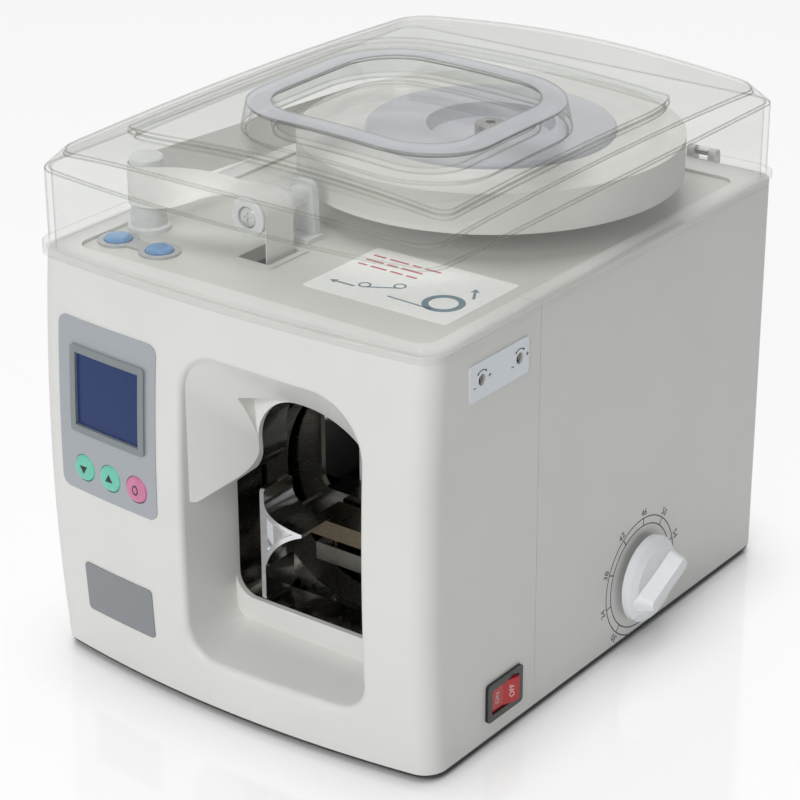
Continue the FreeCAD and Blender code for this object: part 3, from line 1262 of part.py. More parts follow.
def slide_rods():
    return [rod("y", (x, z), ROD_R, (PLATE_Y, ROD_END)) for x, z in ROD_AT]


def rod_bracket():
    """Rear support of the slide rods, with the rack's slot."""
    ys = (ROD_END - 4.0, ROD_END - 1.0)
    plate = slab("xz", ys, rect((STOP_X[0] - 8, STOP_X[1] + 8), (Z_BASE, ROD_Z + 10), 4.0))
    foot_pad = box((STOP_X[0] - 4, STOP_X[1] + 4), (ys[0] - 10, ys[1]), (Z_BASE, Z_BASE + 3))
    plate = fused(plate, foot_pad)
    for x, z in ROD_AT:
        plate = plate.cut(rod("y", (x, z), ROD_R, (ys[0] - 1, ys[1] + 1)))
    slot = box(grow_span(RACK_X, 0.5), (ys[0] - 1, ys[1] + 1), (PITCH_Z - 2.2, PITCH_Z + 8.0))
    return plate.cut(slot)


# ---------------------------------------------------------------- reel, rollers and tape
def paper_reel():
    zs = (REEL_Z, REEL_Z + TAPE_W)
    roll = rod("z", REEL_C, REEL_R, zs)
    return roll.cut(rod("z", REEL_C, CORE_R, (zs[0] - 1, zs[1] + 1)))


def reel_hub():
    """Hub that carries the roll: core, top flange and turned well."""
    top = REEL_Z + TAPE_W
    bore = SPINDLE_R + RUN
    return turned("z", REEL_C, [(bore, REEL_Z + 2), (CORE_R - 3.0, REEL_Z + 2), (CORE_R - 3.0, REEL_Z),
                                (CORE_R - 0.05, REEL_Z), (CORE_R - 0.05, top), (HUB_FLANGE_R, top),
                                (HUB_FLANGE_R, top + 1.6), (HUB_FLANGE_R - 1.4, top + HUB_FLANGE_T),
                                (CORE_R - 6.0, top + HUB_FLANGE_T), (CORE_R - 8.0, top - 4.0),
                                (bore, top - 4.0)])


def turntable():
    """Disc under the roll, with a boss that runs on the spindle's shoulder."""
    bore = SPINDLE_R + RUN
    under = REEL_Z - DISC_T
    return turned("z", REEL_C, [(bore, under - 2.0), (SPINDLE_R + 8, under - 2.0),
                                (SPINDLE_R + 8, under), (DISC_R - 0.8, under),
                                (DISC_R, under + 0.8), (DISC_R, REEL_Z), (bore, REEL_Z)])


def reel_spindle():
    low = REEL_Z - DISC_T - 2.0 - FIT
    top = REEL_Z + TAPE_W + HUB_FLANGE_T
    return turned("z", REEL_C, [(0, DECK_Z), (22.0, DECK_Z), (22.0, DECK_Z + 2.0), (14.0, DECK_Z + 3.4),
                                (14.0, low), (SPINDLE_R, low), (SPINDLE_R, top - 1.0),
                                (SPINDLE_R - 1.0, top), (2.6, top), (2.6, top - 5.0), (0, top - 5.0)])


def tape_post():
    low, high = POST_R
    top = DECK_Z + POST_H
    return turned("z", POST_C, [(0, DECK_Z), (low + 1.5, DECK_Z), (low + 1.5, DECK_Z + 2.0),
                                (low, DECK_Z + 3.0), (high, top - 7.0), (high + 1.4, top - 6.0),
                                (high + 1.4, top - 1.0), (high + 0.4, top), (0, top)])


def tape_roller():
    y0, y1 = TAPE_Y - 12.0, TAPE_Y + 12.0
    r = GUIDE_ROLLER_R
    return turned("y", (GUIDE_ROLLER_X, GUIDE_ROLLER_Z),
                  [(AXLE_R + RUN, y0 + 3.2), (5.4, y0 + 3.2), (5.4, y0), (r, y0), (r + 0.8, y0 + 0.4),
                   (r + 0.8, y0 + 1.6), (r, y0 + 1.8), (r, y1 - 1.8), (r + 0.8, y1 - 1.6),
                   (r + 0.8, y1), (AXLE_R + RUN, y1)])


def roller_screw():
    y0 = TAPE_Y - 12.0
    centre = (GUIDE_ROLLER_X, GUIDE_ROLLER_Z)
    screw = turned("y", centre, [(0, y0 + 0.8), (4.4, y0 + 0.8), (4.8, y0 + 1.2), (4.8, y0 + 2.9),
                                 (AXLE_R, y0 + 2.9), (AXLE_R, BRACKET_Y[1]), (0, BRACKET_Y[1])])
    for across, high in ((2.4, 0.5), (0.5, 2.4)):
        xs = (centre[0] - across, centre[0] + across)
        screw = screw.cut(box(xs, (y0, y0 + 1.8), (centre[1] - high, centre[1] + high)))
    return screw


def roller_bracket():
    """Post behind the tape roller, with its foot on the deck."""
    cx = GUIDE_ROLLER_X
    upright_part = slab("xz", BRACKET_Y, [(cx - 8, DECK_Z, 0), (cx + 8, DECK_Z, 0),
                                          (cx + 7, GUIDE_ROLLER_Z + 7, 5.0),
                                          (cx - 7, GUIDE_ROLLER_Z + 7, 5.0)])
    boss = rod("y", (cx, GUIDE_ROLLER_Z), 5.0, (TAPE_Y + 12.0 + FIT, BRACKET_Y[0] + 1))
    pad = box((cx - 10, cx + 10), (BRACKET_Y[0] - 8, BRACKET_Y[1]), (DECK_Z, DECK_Z + 2.5))
    whole = fused(upright_part, boss, pad)
    return whole.cut(rod("y", (cx, GUIDE_ROLLER_Z), AXLE_R, (0, 200)))


def tape_sections():
    """Tape's cross-sections from the reel to its cut end, as (middle, across, through)."""
    up = Vector(0, 0, 1)
    reel = Vector(REEL_C[0], REEL_C[1], 0)
    post = Vector(POST_C[0], POST_C[1], 0)
    half_t = TAPE_T / 2
    off_reel, off_post = REEL_R + FIT + half_t, POST_R[0] + half_t + 0.1
    run = post - reel
    turn = math.asin((off_reel - off_post) / run.Length)
    base = math.atan2(run.y, run.x)
    side = base - math.pi / 2 + turn
    out = Vector(math.cos(side), math.sin(side), 0)
    mid_z = Vector(0, 0, REEL_Z + TAPE_W / 2)
    sections = [(reel + out * off_reel + mid_z, up, out), (post + out * off_post + mid_z, up, out)]
    stop = -math.pi / 2
    start = math.atan2(out.y, out.x)
    if start > 0:
        start -= 2 * math.pi
    for i in range(1, 7):
        a = start + (stop - start) * i / 6
        way = Vector(math.cos(a), math.sin(a), 0)
        sections.append((post + way * off_post + mid_z, up, way))
    begin = sections[-1][0]
    top = GUIDE_ROLLER_R + half_t + FIT
    roll = Vector(GUIDE_ROLLER_X, TAPE_Y, GUIDE_ROLLER_Z)
    finish = roll + up * top
    for i in range(1, 13):
        s = i / 13.0
        t = min(1.0, s / TWIST_PART)
        ease = t * t * (3 - 2 * t)
        a = ease * math.pi / 2
        across = Vector(0, math.sin(a), math.cos(a))
        through = Vector(0, -math.cos(a), math.sin(a))
        mid = begin + (finish - begin) * s
        mid.y = begin.y + (finish.y - begin.y) * ease
        sections.append((mid, across, through))
    for i in range(0, 9):
        a = math.pi / 2 - i * math.pi / 16
        way = Vector(math.cos(a), 0, math.sin(a))
        sections.append((roll + way * top, Vector(0, 1, 0), way))
    last = sections[-1][0]
    sections.append((Vector(last.x, last.y, CUT_Z + 2.6), Vector(0, 1, 0), Vector(1, 0, 0)))
    return sections


def paper_tape():
    wires = []
    for mid, across, through in tape_sections():
        w, t = across * (TAPE_W / 2), through * (TAPE_T / 2)
        ring = [mid - w - t, mid + w - t, mid + w + t, mid - w + t]
        wires.append(Part.makePolygon(ring + [ring[0]]))
    return Part.makeLoft(wires, True, True)


# ---------------------------------------------------------------- deck buttons
def button_plate():
    z0, z1 = DECK_Z, DECK_Z + 1.2
    (x0, y0), (x1, _) = BUTTONS
    ends = [rod("z", centre, BUTTON_R + 3.2, (z0, z1)) for centre in BUTTONS]
    plate = fused(box((x0, x1), (y0 - 4.5, y0 + 4.5), (z0, z1)), *ends)
    for centre in BUTTONS:
        plate = plate.cut(rod("z", centre, BUTTON_R + FIT, (z0 - 1, z1 + 1)))
    return plate


def deck_button(centre):
    top = DECK_Z + 3.2
    low = BUTTON_BOARD_Z + BUTTON_SWITCH_H + BUTTON_TRAVEL + 0.1
    return turned("z", centre, [(0, low), (2.4, low), (2.4, DECK_Z - 4.0), (BUTTON_R, DECK_Z - 4.0),
                                (BUTTON_R, top - 1.4), (BUTTON_R - 0.8, top - 0.4),
                                (BUTTON_R - 2.4, top), (0, top + 0.2)])


def button_board():
    (x0, y0), (x1, y1) = BUTTONS
    zs = (BUTTON_BOARD_Z - BOARD_T, BUTTON_BOARD_Z)
    board = box((x0 - 9, x1 + 9), (y0 - 9, y0 + 9), zs)
    switches = [box((x - 3, x + 3), (y - 3, y + 3), (BUTTON_BOARD_Z, BUTTON_BOARD_Z + BUTTON_SWITCH_H))
                for x, y in BUTTONS]
    posts = [rod("z", ((x0 + x1) / 2, y0 + s * 6.0), 2.2, (BUTTON_BOARD_Z, DECK_Z - DECK_T))
             for s in (-1, 1)]
    return fused(board, *(switches + posts))


# ---------------------------------------------------------------- power and electronics
def power_inlet():
    ys = (CASE_D - 16.0, CASE_D + 1.6)
    flange = slab("xz", (CASE_D, ys[1]), rect(grow_span(INLET_X, 3.0), grow_span(INLET_Z, 2.2), 2.5))
    body = slab("xz", (ys[0], CASE_D), rect(INLET_X, INLET_Z, 2.0))
    well = rect(grow_span(INLET_X, -2.0), grow_span(INLET_Z, -2.0), 2.0)
    socket = slab("xz", (ys[0] + 3.0, ys[1] + 1), well)
    mid_x, mid_z = sum(INLET_X) / 2, sum(INLET_Z) / 2
    blades = []
    for dx, dz in ((-7, -1.5), (0, 1.5), (7, -1.5)):
        x, z = mid_x + dx, mid_z + dz
        blades.append(box((x - 1.0, x + 1.0), (ys[0] + 2, ys[1] - 3), (z - 2.0, z + 2.0)))
    return fused(fused(flange, body).cut(socket), *blades)


def transformer():
    xs, ys, top = TRAFO_X, TRAFO_Y, TRAFO_TOP
    mid = (xs[0] + xs[1]) / 2, (ys[0] + ys[1]) / 2
    core = slab("xz", grow_span(ys, -8.0), rect(xs, (Z_BASE + 2, top), 1.5))
    coil = slab("xz", ys, rect(grow_span(xs, -9.0), (Z_BASE + 11, top - 9), 5.0))
    strap = box(grow_span(xs, 9.0), (mid[1] - 9, mid[1] + 9), (Z_BASE, Z_BASE + 2))
    return fused(core, coil, strap)


def main_board():
    xs, ys = MAIN_X, MAIN_Y
    low = Z_BASE + 6.0
    board = box(xs, ys, (low, low + BOARD_T))
    posts = [rod("z", (x, y), 3.0, (Z_BASE, low)) for x in grow_span(xs, -5) for y in grow_span(ys, -5)]
    top = low + BOARD_T
    parts = [box((xs[0] + 8, xs[0] + 30), (ys[0] + 10, ys[0] + 32), (top, top + 3)),
             box((xs[0] + 40, xs[0] + 58), (ys[0] + 6, ys[0] + 14), (top, top + 14)),
             rod("z", (xs[0] + 20, ys[1] - 16), 8.0, (top, top + 22)),
             rod("z", (xs[0] + 42, ys[1] - 14), 6.0, (top, top + 16)),
             box((xs[1] - 24, xs[1] - 8), (ys[1] - 22, ys[1] - 6), (top, top + 12))]
    return fused(board, *(posts + parts))


def build():
    whole = casing()
    emit("front_shell", front_shell(whole))
    emit("rear_shell", rear_shell(whole))
    emit("base_plate", base_plate())
    emit("rubber_feet", *[foot(x, y) for x, y in foot_centres()])
    emit("top_deck", top_deck())
    emit("dust_cover", dust_cover())
    emit("hinge_pins", *hinge_pins())
    emit("display_panel", display_panel())
    emit("lcd_frame", lcd_frame())
    emit("lcd_glass", lcd_glass())
    emit("display_board", display_board())
    for name, x in zip(("key_down", "key_up", "key_clear"), KEY_X):
        emit(name, key(x))
    emit("adjust_plate", adjust_plate())
    for name, y in zip(("trimmer_front", "trimmer_rear"), TRIM_Y):
        emit(name, trimmer(y))
    emit("trimmer_board", trimmer_board())
    emit("switch_body", switch_body())
    emit("switch_rocker", rocker())
    emit("length_knob", knob())
    emit("knob_shaft", knob_shaft())
    emit("throat_liner", throat_liner())
    emit("note_guide", note_guide())
    emit("frame_plate", frame_plate())
    emit("winding_ring", winding_ring())
    emit("tape_gripper", tape_gripper())
    for name, centre in zip(("top", "left", "right"), roller_centres()):
        emit("ring_roller_" + name, ring_roller(centre))
    emit("roller_axles", *[roller_axle(c) for c in roller_centres()])
    emit("ring_pinion", ring_pinion())
    emit("ring_motor", ring_motor())
    emit("feed_roller", feed_roller())
    emit("pinch_roller", pinch_roller())
    emit("feed_motor", feed_motor())
    emit("cutter_blade", cutter_blade())
    emit("cutter_solenoid", cutter_solenoid())
    emit("heater", heater())
    emit("note_clamp", note_clamp())
    emit("clamp_solenoid", clamp_solenoid())
    emit("depth_stop", depth_stop())
    emit("stop_rack", stop_rack())
    emit("stop_rails", fused(rod_bracket(), *slide_rods()))
    emit("paper_reel", paper_reel())
    emit("reel_hub", reel_hub())
    emit("turntable", turntable())
    emit("reel_spindle", reel_spindle())
    emit("tape_post", tape_post())
    emit("tape_roller", tape_roller())
    emit("roller_screw", roller_screw())
    emit("roller_bracket", roller_bracket())
    emit("paper_tape", paper_tape())
    emit("button_plate", button_plate())
    for name, centre in zip(("button_feed", "button_bind"), BUTTONS):
        emit(name, deck_button(centre))
    emit("button_board", button_board())
    emit("power_inlet", power_inlet())
    emit("transformer", transformer())
    emit("main_board", main_board())


build()
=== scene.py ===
"""Dresses the banknote strapping machine: finishes, printed marks, plates, screws and studio."""

import json
import math

import bmesh
import bpy
from bpy.props import FloatProperty, FloatVectorProperty, IntProperty, PointerProperty
from bpy.types import Operator, Panel, PropertyGroup
from mathutils import Matrix, Vector
from mathutils.bvhtree import BVHTree


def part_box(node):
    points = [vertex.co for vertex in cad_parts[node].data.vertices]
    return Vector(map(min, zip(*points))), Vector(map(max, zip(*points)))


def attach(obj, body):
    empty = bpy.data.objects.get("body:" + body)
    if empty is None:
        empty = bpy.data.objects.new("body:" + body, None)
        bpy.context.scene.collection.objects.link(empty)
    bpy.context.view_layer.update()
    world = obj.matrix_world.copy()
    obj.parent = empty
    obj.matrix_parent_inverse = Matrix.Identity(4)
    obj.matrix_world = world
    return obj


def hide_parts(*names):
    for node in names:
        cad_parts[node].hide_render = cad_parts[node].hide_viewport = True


bl_info = {
    "name": "Banknote strapping machine",
    "version": (1, 0, 0),
    "blender": (4, 5, 0),
    "location": "3D View > Sidebar > Strapper",
    "description": "Finishes, marks and studio of a counter-top banknote strapping machine",
    "category": "Object",
}

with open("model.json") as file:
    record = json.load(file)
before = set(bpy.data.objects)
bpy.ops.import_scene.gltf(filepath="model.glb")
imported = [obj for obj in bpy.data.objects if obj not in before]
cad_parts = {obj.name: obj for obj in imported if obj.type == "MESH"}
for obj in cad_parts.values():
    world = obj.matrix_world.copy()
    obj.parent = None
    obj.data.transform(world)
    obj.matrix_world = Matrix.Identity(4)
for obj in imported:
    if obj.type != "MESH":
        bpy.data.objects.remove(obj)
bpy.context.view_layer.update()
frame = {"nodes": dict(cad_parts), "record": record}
MM = 0.001

CASE_HALF = 115 * MM
CASE_DEPTH = 292 * MM
BASE_INSET = 0.6 * MM

# The casing's own corner: middle of its width, plane of its front corners.
BASE_LOW, BASE_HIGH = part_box("base_plate")
MID_X = (BASE_LOW[0] + BASE_HIGH[0]) / 2
BACK_Y = BASE_HIGH[1] + BASE_INSET
CORNER_Y = BACK_Y - CASE_DEPTH
SIDE_X = MID_X + CASE_HALF


def spot(x, y, z):
    """A place given in millimetres from the casing's own corner."""
    return Vector((MID_X + x * MM, CORNER_Y + y * MM, z * MM))


def middle_of(node):
    low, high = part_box(node)
    return (Vector(low) + Vector(high)) / 2


# ------------------------------------------------------------------ sizes and colours
def length_property(label, what, value):
    return FloatProperty(name=label, description=what, default=value, subtype="DISTANCE",
                         unit="LENGTH")


def angle_property(label, what, degrees):
    return FloatProperty(name=label, description=what, default=math.radians(degrees),
                         subtype="ANGLE", unit="ROTATION")


class StrapperSizes(PropertyGroup):
    """Sizes of the marks, plates and fasteners."""

    plate_width: length_property("Name plate width", "Width of the plate on the front", 0.0470)
    plate_height: length_property("Name plate height", "Height of the plate on the front", 0.0265)
    plate_corner: length_property("Name plate corner", "Corner radius of the front plate", 0.0022)
    rating_width: length_property("Rating plate width", "Width of the plate on the back", 0.062)
    rating_height: length_property("Rating plate height", "Height of the plate on the back", 0.036)
    label_width: length_property("Deck label width", "Width of the label on the deck", 0.081)
    label_height: length_property("Deck label height", "Height of the label on the deck", 0.058)
    label_corner: length_property("Label corner", "Corner radius of the flat labels", 0.002)
    label_thick: length_property("Label thickness", "Thickness of the deck label", 0.00015)
    print_lift: length_property("Print lift", "How far ink stands on its surface", 0.00006)
    dial_outer: length_property("Dial outer ring", "Radius of the outer printed ring", 0.0312)
    dial_inner: length_property("Dial inner ring", "Radius of the inner printed ring", 0.0271)
    dial_line: length_property("Dial line", "Width of the dial's printed lines", 0.00055)
    numeral: length_property("Numeral height", "Height of the dial's numerals", 0.0037)
    rocker_letter: length_property("Rocker letters", "Height of ON and OFF", 0.0028)
    dial_start: angle_property("Dial start", "Angle of the lowest number on the dial", 228.0)
    dial_step: angle_property("Dial step", "Angle from one number to the next", 35.26)
    dial_numbers: IntProperty(
        name="Dial numbers", description="How many numbers the dial has", default=7)
    arc_radius: length_property("Adjuster arc", "Radius of the arc round an adjuster", 0.0046)
    arc_line: length_property("Adjuster line", "Width of the lines round an adjuster", 0.00045)
    edge_bead: length_property("Cover edge", "Radius of the cover's rounded edges", 0.00042)
    screw_radius: length_property("Screw head radius", "Radius of the cross-head screws", 0.0032)


def colour_property(label, what, value):
    return FloatVectorProperty(name=label, description=what, default=value, size=3,
                               subtype="COLOR", min=0.0, max=1.0)


def hexed(code):
    """Linear colour of a six-digit display colour."""
    parts = [int(code[i:i + 2], 16) / 255 for i in (0, 2, 4)]
    return tuple(p / 12.92 if p <= 0.04045 else ((p + 0.055) / 1.055) ** 2.4 for p in parts)


class StrapperColours(PropertyGroup):
    """Colours of the machine's finishes."""

    casing: colour_property("Casing", "Moulded casing", hexed("E6E6E3"))
    deck: colour_property("Deck", "Deck under the cover", hexed("D4D4CE"))
    clear: colour_property("Cover", "Tint of the clear cover", (0.982, 0.985, 0.98))
    panel: colour_property("Panel", "Display panel", hexed("AEB3B9"))
    frame: colour_property("Display frame", "Frame round the display", hexed("858C8F"))
    display: colour_property("Display", "Display glass", hexed("243A6E"))
    green: colour_property("Green keys", "Up and down keys", hexed("70CDB4"))
    pink: colour_property("Pink key", "Clear key", hexed("D07BA2"))
    label: colour_property("Label", "Plate of the side adjusters", hexed("E3E9EE"))
    knob: colour_property("Knob", "Length knob", hexed("F6F9FC"))
    rocker: colour_property("Rocker", "Rocker of the switch", hexed("C3181D"))
    button: colour_property("Buttons", "Feed and bind buttons", hexed("5A93C8"))
    paper: colour_property("Paper", "Paper tape", hexed("F4F3EF"))
    ink: colour_property("Ink", "Dark print", hexed("33363A"))


# ------------------------------------------------------------------ finishes
class Finish:
    """One procedural material: a shader, its pattern coordinates and small helpers."""

    def __init__(self, name, colour, rough, metal=0.0, specular=0.5):
        self.material = bpy.data.materials.new(name)
        self.material.use_nodes = True
        self.tree = self.material.node_tree
        self.tree.nodes.clear()
        self.out = self.add("ShaderNodeOutputMaterial")
        self.shader = self.add("ShaderNodeBsdfPrincipled")
        self.link(self.shader.outputs[0], self.out.inputs["Surface"])
        self.colour = colour
        self.rough = rough
        self.set("Base Color", (*colour, 1))
        self.set("Roughness", rough)
        self.set("Metallic", metal)
        self.set("Specular IOR Level", specular)
        self.coords = self.add("ShaderNodeTexCoord").outputs["Object"]

    def add(self, kind):
        return self.tree.nodes.new(kind)

    def link(self, start, end):
        self.tree.links.new(start, end)

    def set(self, socket, value):
        self.shader.inputs[socket].default_value = value

    def mapped(self, scale=(1, 1, 1), place=(0, 0, 0), turn=(0, 0, 0)):
        node = self.add("ShaderNodeMapping")
        node.vector_type = "POINT"
        node.inputs["Location"].default_value = place
        node.inputs["Rotation"].default_value = turn
        node.inputs["Scale"].default_value = scale
        self.link(self.coords, node.inputs["Vector"])
        return node.outputs[0]

    def noise(self, scale, detail=3.0, rough=0.55, vector=None):
        node = self.add("ShaderNodeTexNoise")
        node.inputs["Scale"].default_value = scale
        node.inputs["Detail"].default_value = detail
        node.inputs["Roughness"].default_value = rough
        self.link(vector or self.coords, node.inputs["Vector"])
        return node.outputs["Fac"]

    def between(self, value, low, high, start=0.3, end=0.7):
        node = self.add("ShaderNodeMapRange")
        node.inputs["From Min"].default_value = start
        node.inputs["From Max"].default_value = end
        node.inputs["To Min"].default_value = low
        node.inputs["To Max"].default_value = high
        self.link(value, node.inputs["Value"])
        return node.outputs["Result"]

    def blend(self, value, first, second):
        node = self.add("ShaderNodeMix")
        node.data_type = "RGBA"
        self.link(value, node.inputs["Factor"])
        for socket, colour in zip(("A", "B"), (first, second)):
            target = [s for s in node.inputs if s.name == socket and s.type == "RGBA"][0]
            if isinstance(colour, tuple):
                target.default_value = (*colour, 1)
            else:
                self.link(colour, target)
        return [s for s in node.outputs if s.type == "RGBA"][0]

    def mottle(self, scale=30.0, by=0.02):
        """Slight unevenness of the colour, as moulded or printed stock has."""
        dark = tuple(c * (1 - by) for c in self.colour)
        light = tuple(min(1.0, c * (1 + by)) for c in self.colour)
        mixed = self.blend(self.between(self.noise(scale, 2.0), 0.0, 1.0), dark, light)
        self.link(mixed, self.shader.inputs["Base Color"])

    def uneven(self, scale=60.0, by=0.06):
        """Slight unevenness of the gloss, from handling."""
        value = self.between(self.noise(scale, 4.0), self.rough - by, self.rough + by)
        self.link(value, self.shader.inputs["Roughness"])

    def bump(self, height, distance, strength=1.0):
        node = self.add("ShaderNodeBump")
        node.inputs["Strength"].default_value = strength
        node.inputs["Distance"].default_value = distance
        self.link(height, node.inputs["Height"])
        self.link(node.outputs[0], self.shader.inputs["Normal"])

    def layers(self, share, under, over):
        """One shader over another, by a number or a socket."""
        node = self.add("ShaderNodeMixShader")
        if isinstance(share, float):
            node.inputs["Fac"].default_value = share
        else:
            self.link(share, node.inputs["Fac"])
        self.link(under, node.inputs[1])
        self.link(over, node.inputs[2])
        return node.outputs[0]

    def clear(self, tint=(1, 1, 1)):
        node = self.add("ShaderNodeBsdfTransparent")
        node.inputs["Color"].default_value = (*tint, 1)
        return node.outputs[0]

    def slant(self):
        """Nought where the surface is met square, one where it is met edge on."""
        node = self.add("ShaderNodeLayerWeight")
        node.inputs["Blend"].default_value = 0.5
        return node.outputs["Facing"]

    def surface(self, shader):
        self.link(shader, self.out.inputs["Surface"])


def maths(tree, operation, first, second):
    """A maths node on a socket and a socket or number."""
    node = tree.nodes.new("ShaderNodeMath")
    node.operation = operation
    tree.links.new(first, node.inputs[0])
    if isinstance(second, float):
        node.inputs[1].default_value = second
    else:
        tree.links.new(second, node.inputs[1])
    return node.outputs[0]


def moulded(name, colour, rough=0.42, grain=1500.0, depth=0.00004, mottle=0.018):
    """Spark-eroded plastic: a fine even grain, with faint colour and gloss changes."""
    f = Finish(name, colour, rough)
    f.mottle(22.0, mottle)
    f.uneven(45.0, 0.05)
    f.bump(f.noise(grain, 2.0), depth, 0.55)
    return f


def polished_plastic(name, colour, rough=0.2):
    """Glossy moulding with faint flow marks."""
    f = Finish(name, colour, rough)
    f.mottle(35.0, 0.02)
    f.uneven(90.0, 0.05)
    f.bump(f.noise(160.0, 2.0), 0.00003, 0.4)
    return f


def brushed(name, colour, rough, scale, along=(1, 1, 1)):
    """Metal with fine drawn lines along one way."""
    f = Finish(name, colour, rough, metal=1.0)
    lines = f.noise(scale, 3.0, 0.6, f.mapped(along))
    tone = f.blend(f.between(lines, 0.0, 1.0), tuple(c * 0.9 for c in colour),
                   tuple(min(1, c * 1.06) for c in colour))
    f.link(tone, f.shader.inputs["Base Color"])
    f.link(f.between(lines, rough - 0.08, rough + 0.1), f.shader.inputs["Roughness"])
    f.bump(lines, 0.00001, 0.5)
    return f


def painted(name, colour, rough=0.5):
    """Powder coat: a fine orange peel."""
    f = Finish(name, colour, rough)
    f.mottle(60.0, 0.08)
    f.uneven(80.0, 0.08)
    f.bump(f.noise(900.0, 2.0), 0.00006, 0.6)
    return f


def rubber(name, colour):
    f = Finish(name, colour, 0.75, specular=0.3)
    f.mottle(120.0, 0.15)
    f.bump(f.noise(1200.0, 3.0), 0.00008, 0.7)
    return f


def clear_plastic(name, tint, rim):
    """Clear moulding, faintly wavy: see-through when met square, glossy and greyer when aslant; the
    grey aslant is painted shade of the thick walls.
    """
    f = Finish(name, rim, 0.25, specular=0.5)
    wave = f.add("ShaderNodeBump")
    wave.inputs["Strength"].default_value = 0.35
    wave.inputs["Distance"].default_value = 0.00012
    f.link(f.noise(14.0, 1.0), wave.inputs["Height"])
    f.mottle(40.0, 0.08)
    gloss = f.add("ShaderNodeBsdfGlossy")
    f.link(f.between(f.noise(240.0, 5.0, 0.7), 0.02, 0.07, 0.45, 0.75), gloss.inputs["Roughness"])
    f.link(wave.outputs[0], gloss.inputs["Normal"])
    slant = f.slant()
    steep = maths(f.tree, "POWER", slant, 5.0)
    shine = f.layers(f.between(steep, 0.05, 0.6, 0.0, 1.0), f.clear(tint), gloss.outputs[0])
    # Painted shade: the grey rim colour is mixed in where the surface is met aslant.
    f.surface(f.layers(f.between(slant, 0.02, 0.45, 0.6, 1.0), shine, f.shader.outputs[0]))
    return f


def clear_edge(name, colour):
    """Rounded edge of a clear moulding: it bends the light, so it reads as a line."""
    f = Finish(name, colour, 0.12, specular=0.8)
    f.mottle(60.0, 0.1)
    f.uneven(200.0, 0.05)
    f.surface(f.layers(f.between(f.slant(), 0.04, 0.6, 0.25, 0.95), f.clear((0.96, 0.965, 0.95)),
                       f.shader.outputs[0]))
    return f


def frosted(name, colour, cover):
    """Thin frosted film that half hides what is under it."""
    f = Finish(name, colour, 0.45, specular=0.3)
    f.mottle(80.0, 0.03)
    f.bump(f.noise(1400.0, 2.0), 0.00002, 0.5)
    f.surface(f.layers(cover, f.clear(), f.shader.outputs[0]))
    return f


def circuit(name):
    """Solder mask over copper tracks, seen as two greens."""
    f = Finish(name, (0.02, 0.13, 0.06), 0.32)
    cells = f.add("ShaderNodeTexVoronoi")
    cells.feature = "DISTANCE_TO_EDGE"
    cells.inputs["Scale"].default_value = 260.0
    f.link(f.coords, cells.inputs["Vector"])
    tracks = f.between(cells.outputs["Distance"], 1.0, 0.0, 0.05, 0.09)
    f.link(f.blend(tracks, (0.015, 0.10, 0.045), (0.05, 0.24, 0.10)), f.shader.inputs["Base Color"])
    f.bump(tracks, 0.00004, 0.6)
    return f


def display_glass(name, colour):
    """Blue display: a faint grid of cells under a clear glossy face."""
    f = Finish(name, colour, 0.3, specular=0.25)
    grid = f.add("ShaderNodeTexBrick")
    grid.offset = 0.0
    grid.inputs["Scale"].default_value = 1.0
    grid.inputs["Mortar Size"].default_value = 0.00016
    grid.inputs["Brick Width"].default_value = 0.0011
    grid.inputs["Row Height"].default_value = 0.0011
    grid.inputs["Color1"].default_value = (*colour, 1)
    grid.inputs["Color2"].default_value = (*(c * 0.95 for c in colour), 1)
    grid.inputs["Mortar"].default_value = (*(c * 0.86 for c in colour), 1)
    f.link(f.mapped(turn=(math.radians(90), 0, 0)), grid.inputs["Vector"])
    f.link(grid.outputs["Color"], f.shader.inputs["Base Color"])
    f.uneven(70.0, 0.04)
    return f


def metallic_print(name, colour, rough=0.38):
    """Silver print on a plastic overlay: fine flakes in a satin lacquer."""
    f = Finish(name, colour, rough, metal=0.25)
    flakes = f.add("ShaderNodeTexVoronoi")
    flakes.inputs["Scale"].default_value = 2600.0
    f.link(f.coords, flakes.inputs["Vector"])
    tone = f.between(flakes.outputs["Distance"], 0.0, 1.0, 0.1, 0.6)
    f.link(f.blend(tone, tuple(c * 1.05 for c in colour), tuple(c * 0.93 for c in colour)),
           f.shader.inputs["Base Color"])
    f.uneven(50.0, 0.05)
    f.bump(f.noise(700.0, 2.0), 0.00002, 0.5)
    return f


def wound_paper(name, colour, axis):
    """The reel: the tape's many edges as fine rings about the reel's axis."""
    f = Finish(name, colour, 0.82, specular=0.25)
    place = f.mapped(place=(-axis.x, -axis.y, 0))
    waves = []
    for scale, distortion in ((260.0, 0.6), (23.0, 2.5)):
        wave = f.add("ShaderNodeTexWave")
        wave.wave_type = "RINGS"
        wave.rings_direction = "Z"
        wave.inputs["Scale"].default_value = scale
        wave.inputs["Distortion"].default_value = distortion
        wave.inputs["Detail"].default_value = 2.0
        f.link(place, wave.inputs["Vector"])
        waves.append(wave.outputs["Fac"])
    both = maths(f.tree, "MULTIPLY", *waves)
    f.link(f.blend(both, tuple(c * 0.9 for c in colour), colour), f.shader.inputs["Base Color"])
    f.bump(waves[0], 0.00008, 0.6)
    return f


def paper(name, colour):
    f = Finish(name, colour, 0.85, specular=0.2)
    f.mottle(260.0, 0.03)
    f.bump(f.noise(1800.0, 4.0, 0.7), 0.00003, 0.6)
    return f


def domed_key(name, colour, lift):
    """Soft-touch key, its colour deeper towards one side."""
    f = Finish(name, colour, 0.34)
    low = f.between(f.noise(180.0, 2.0), 0.0, 1.0)
    f.link(f.blend(low, tuple(c * (1 - lift) for c in colour),
                   tuple(min(1, c * (1 + lift)) for c in colour)), f.shader.inputs["Base Color"])
    f.bump(f.noise(1100.0, 2.0), 0.00002, 0.5)
    f.set("Coat Weight", 0.25)
    f.set("Coat Roughness", 0.2)
    return f


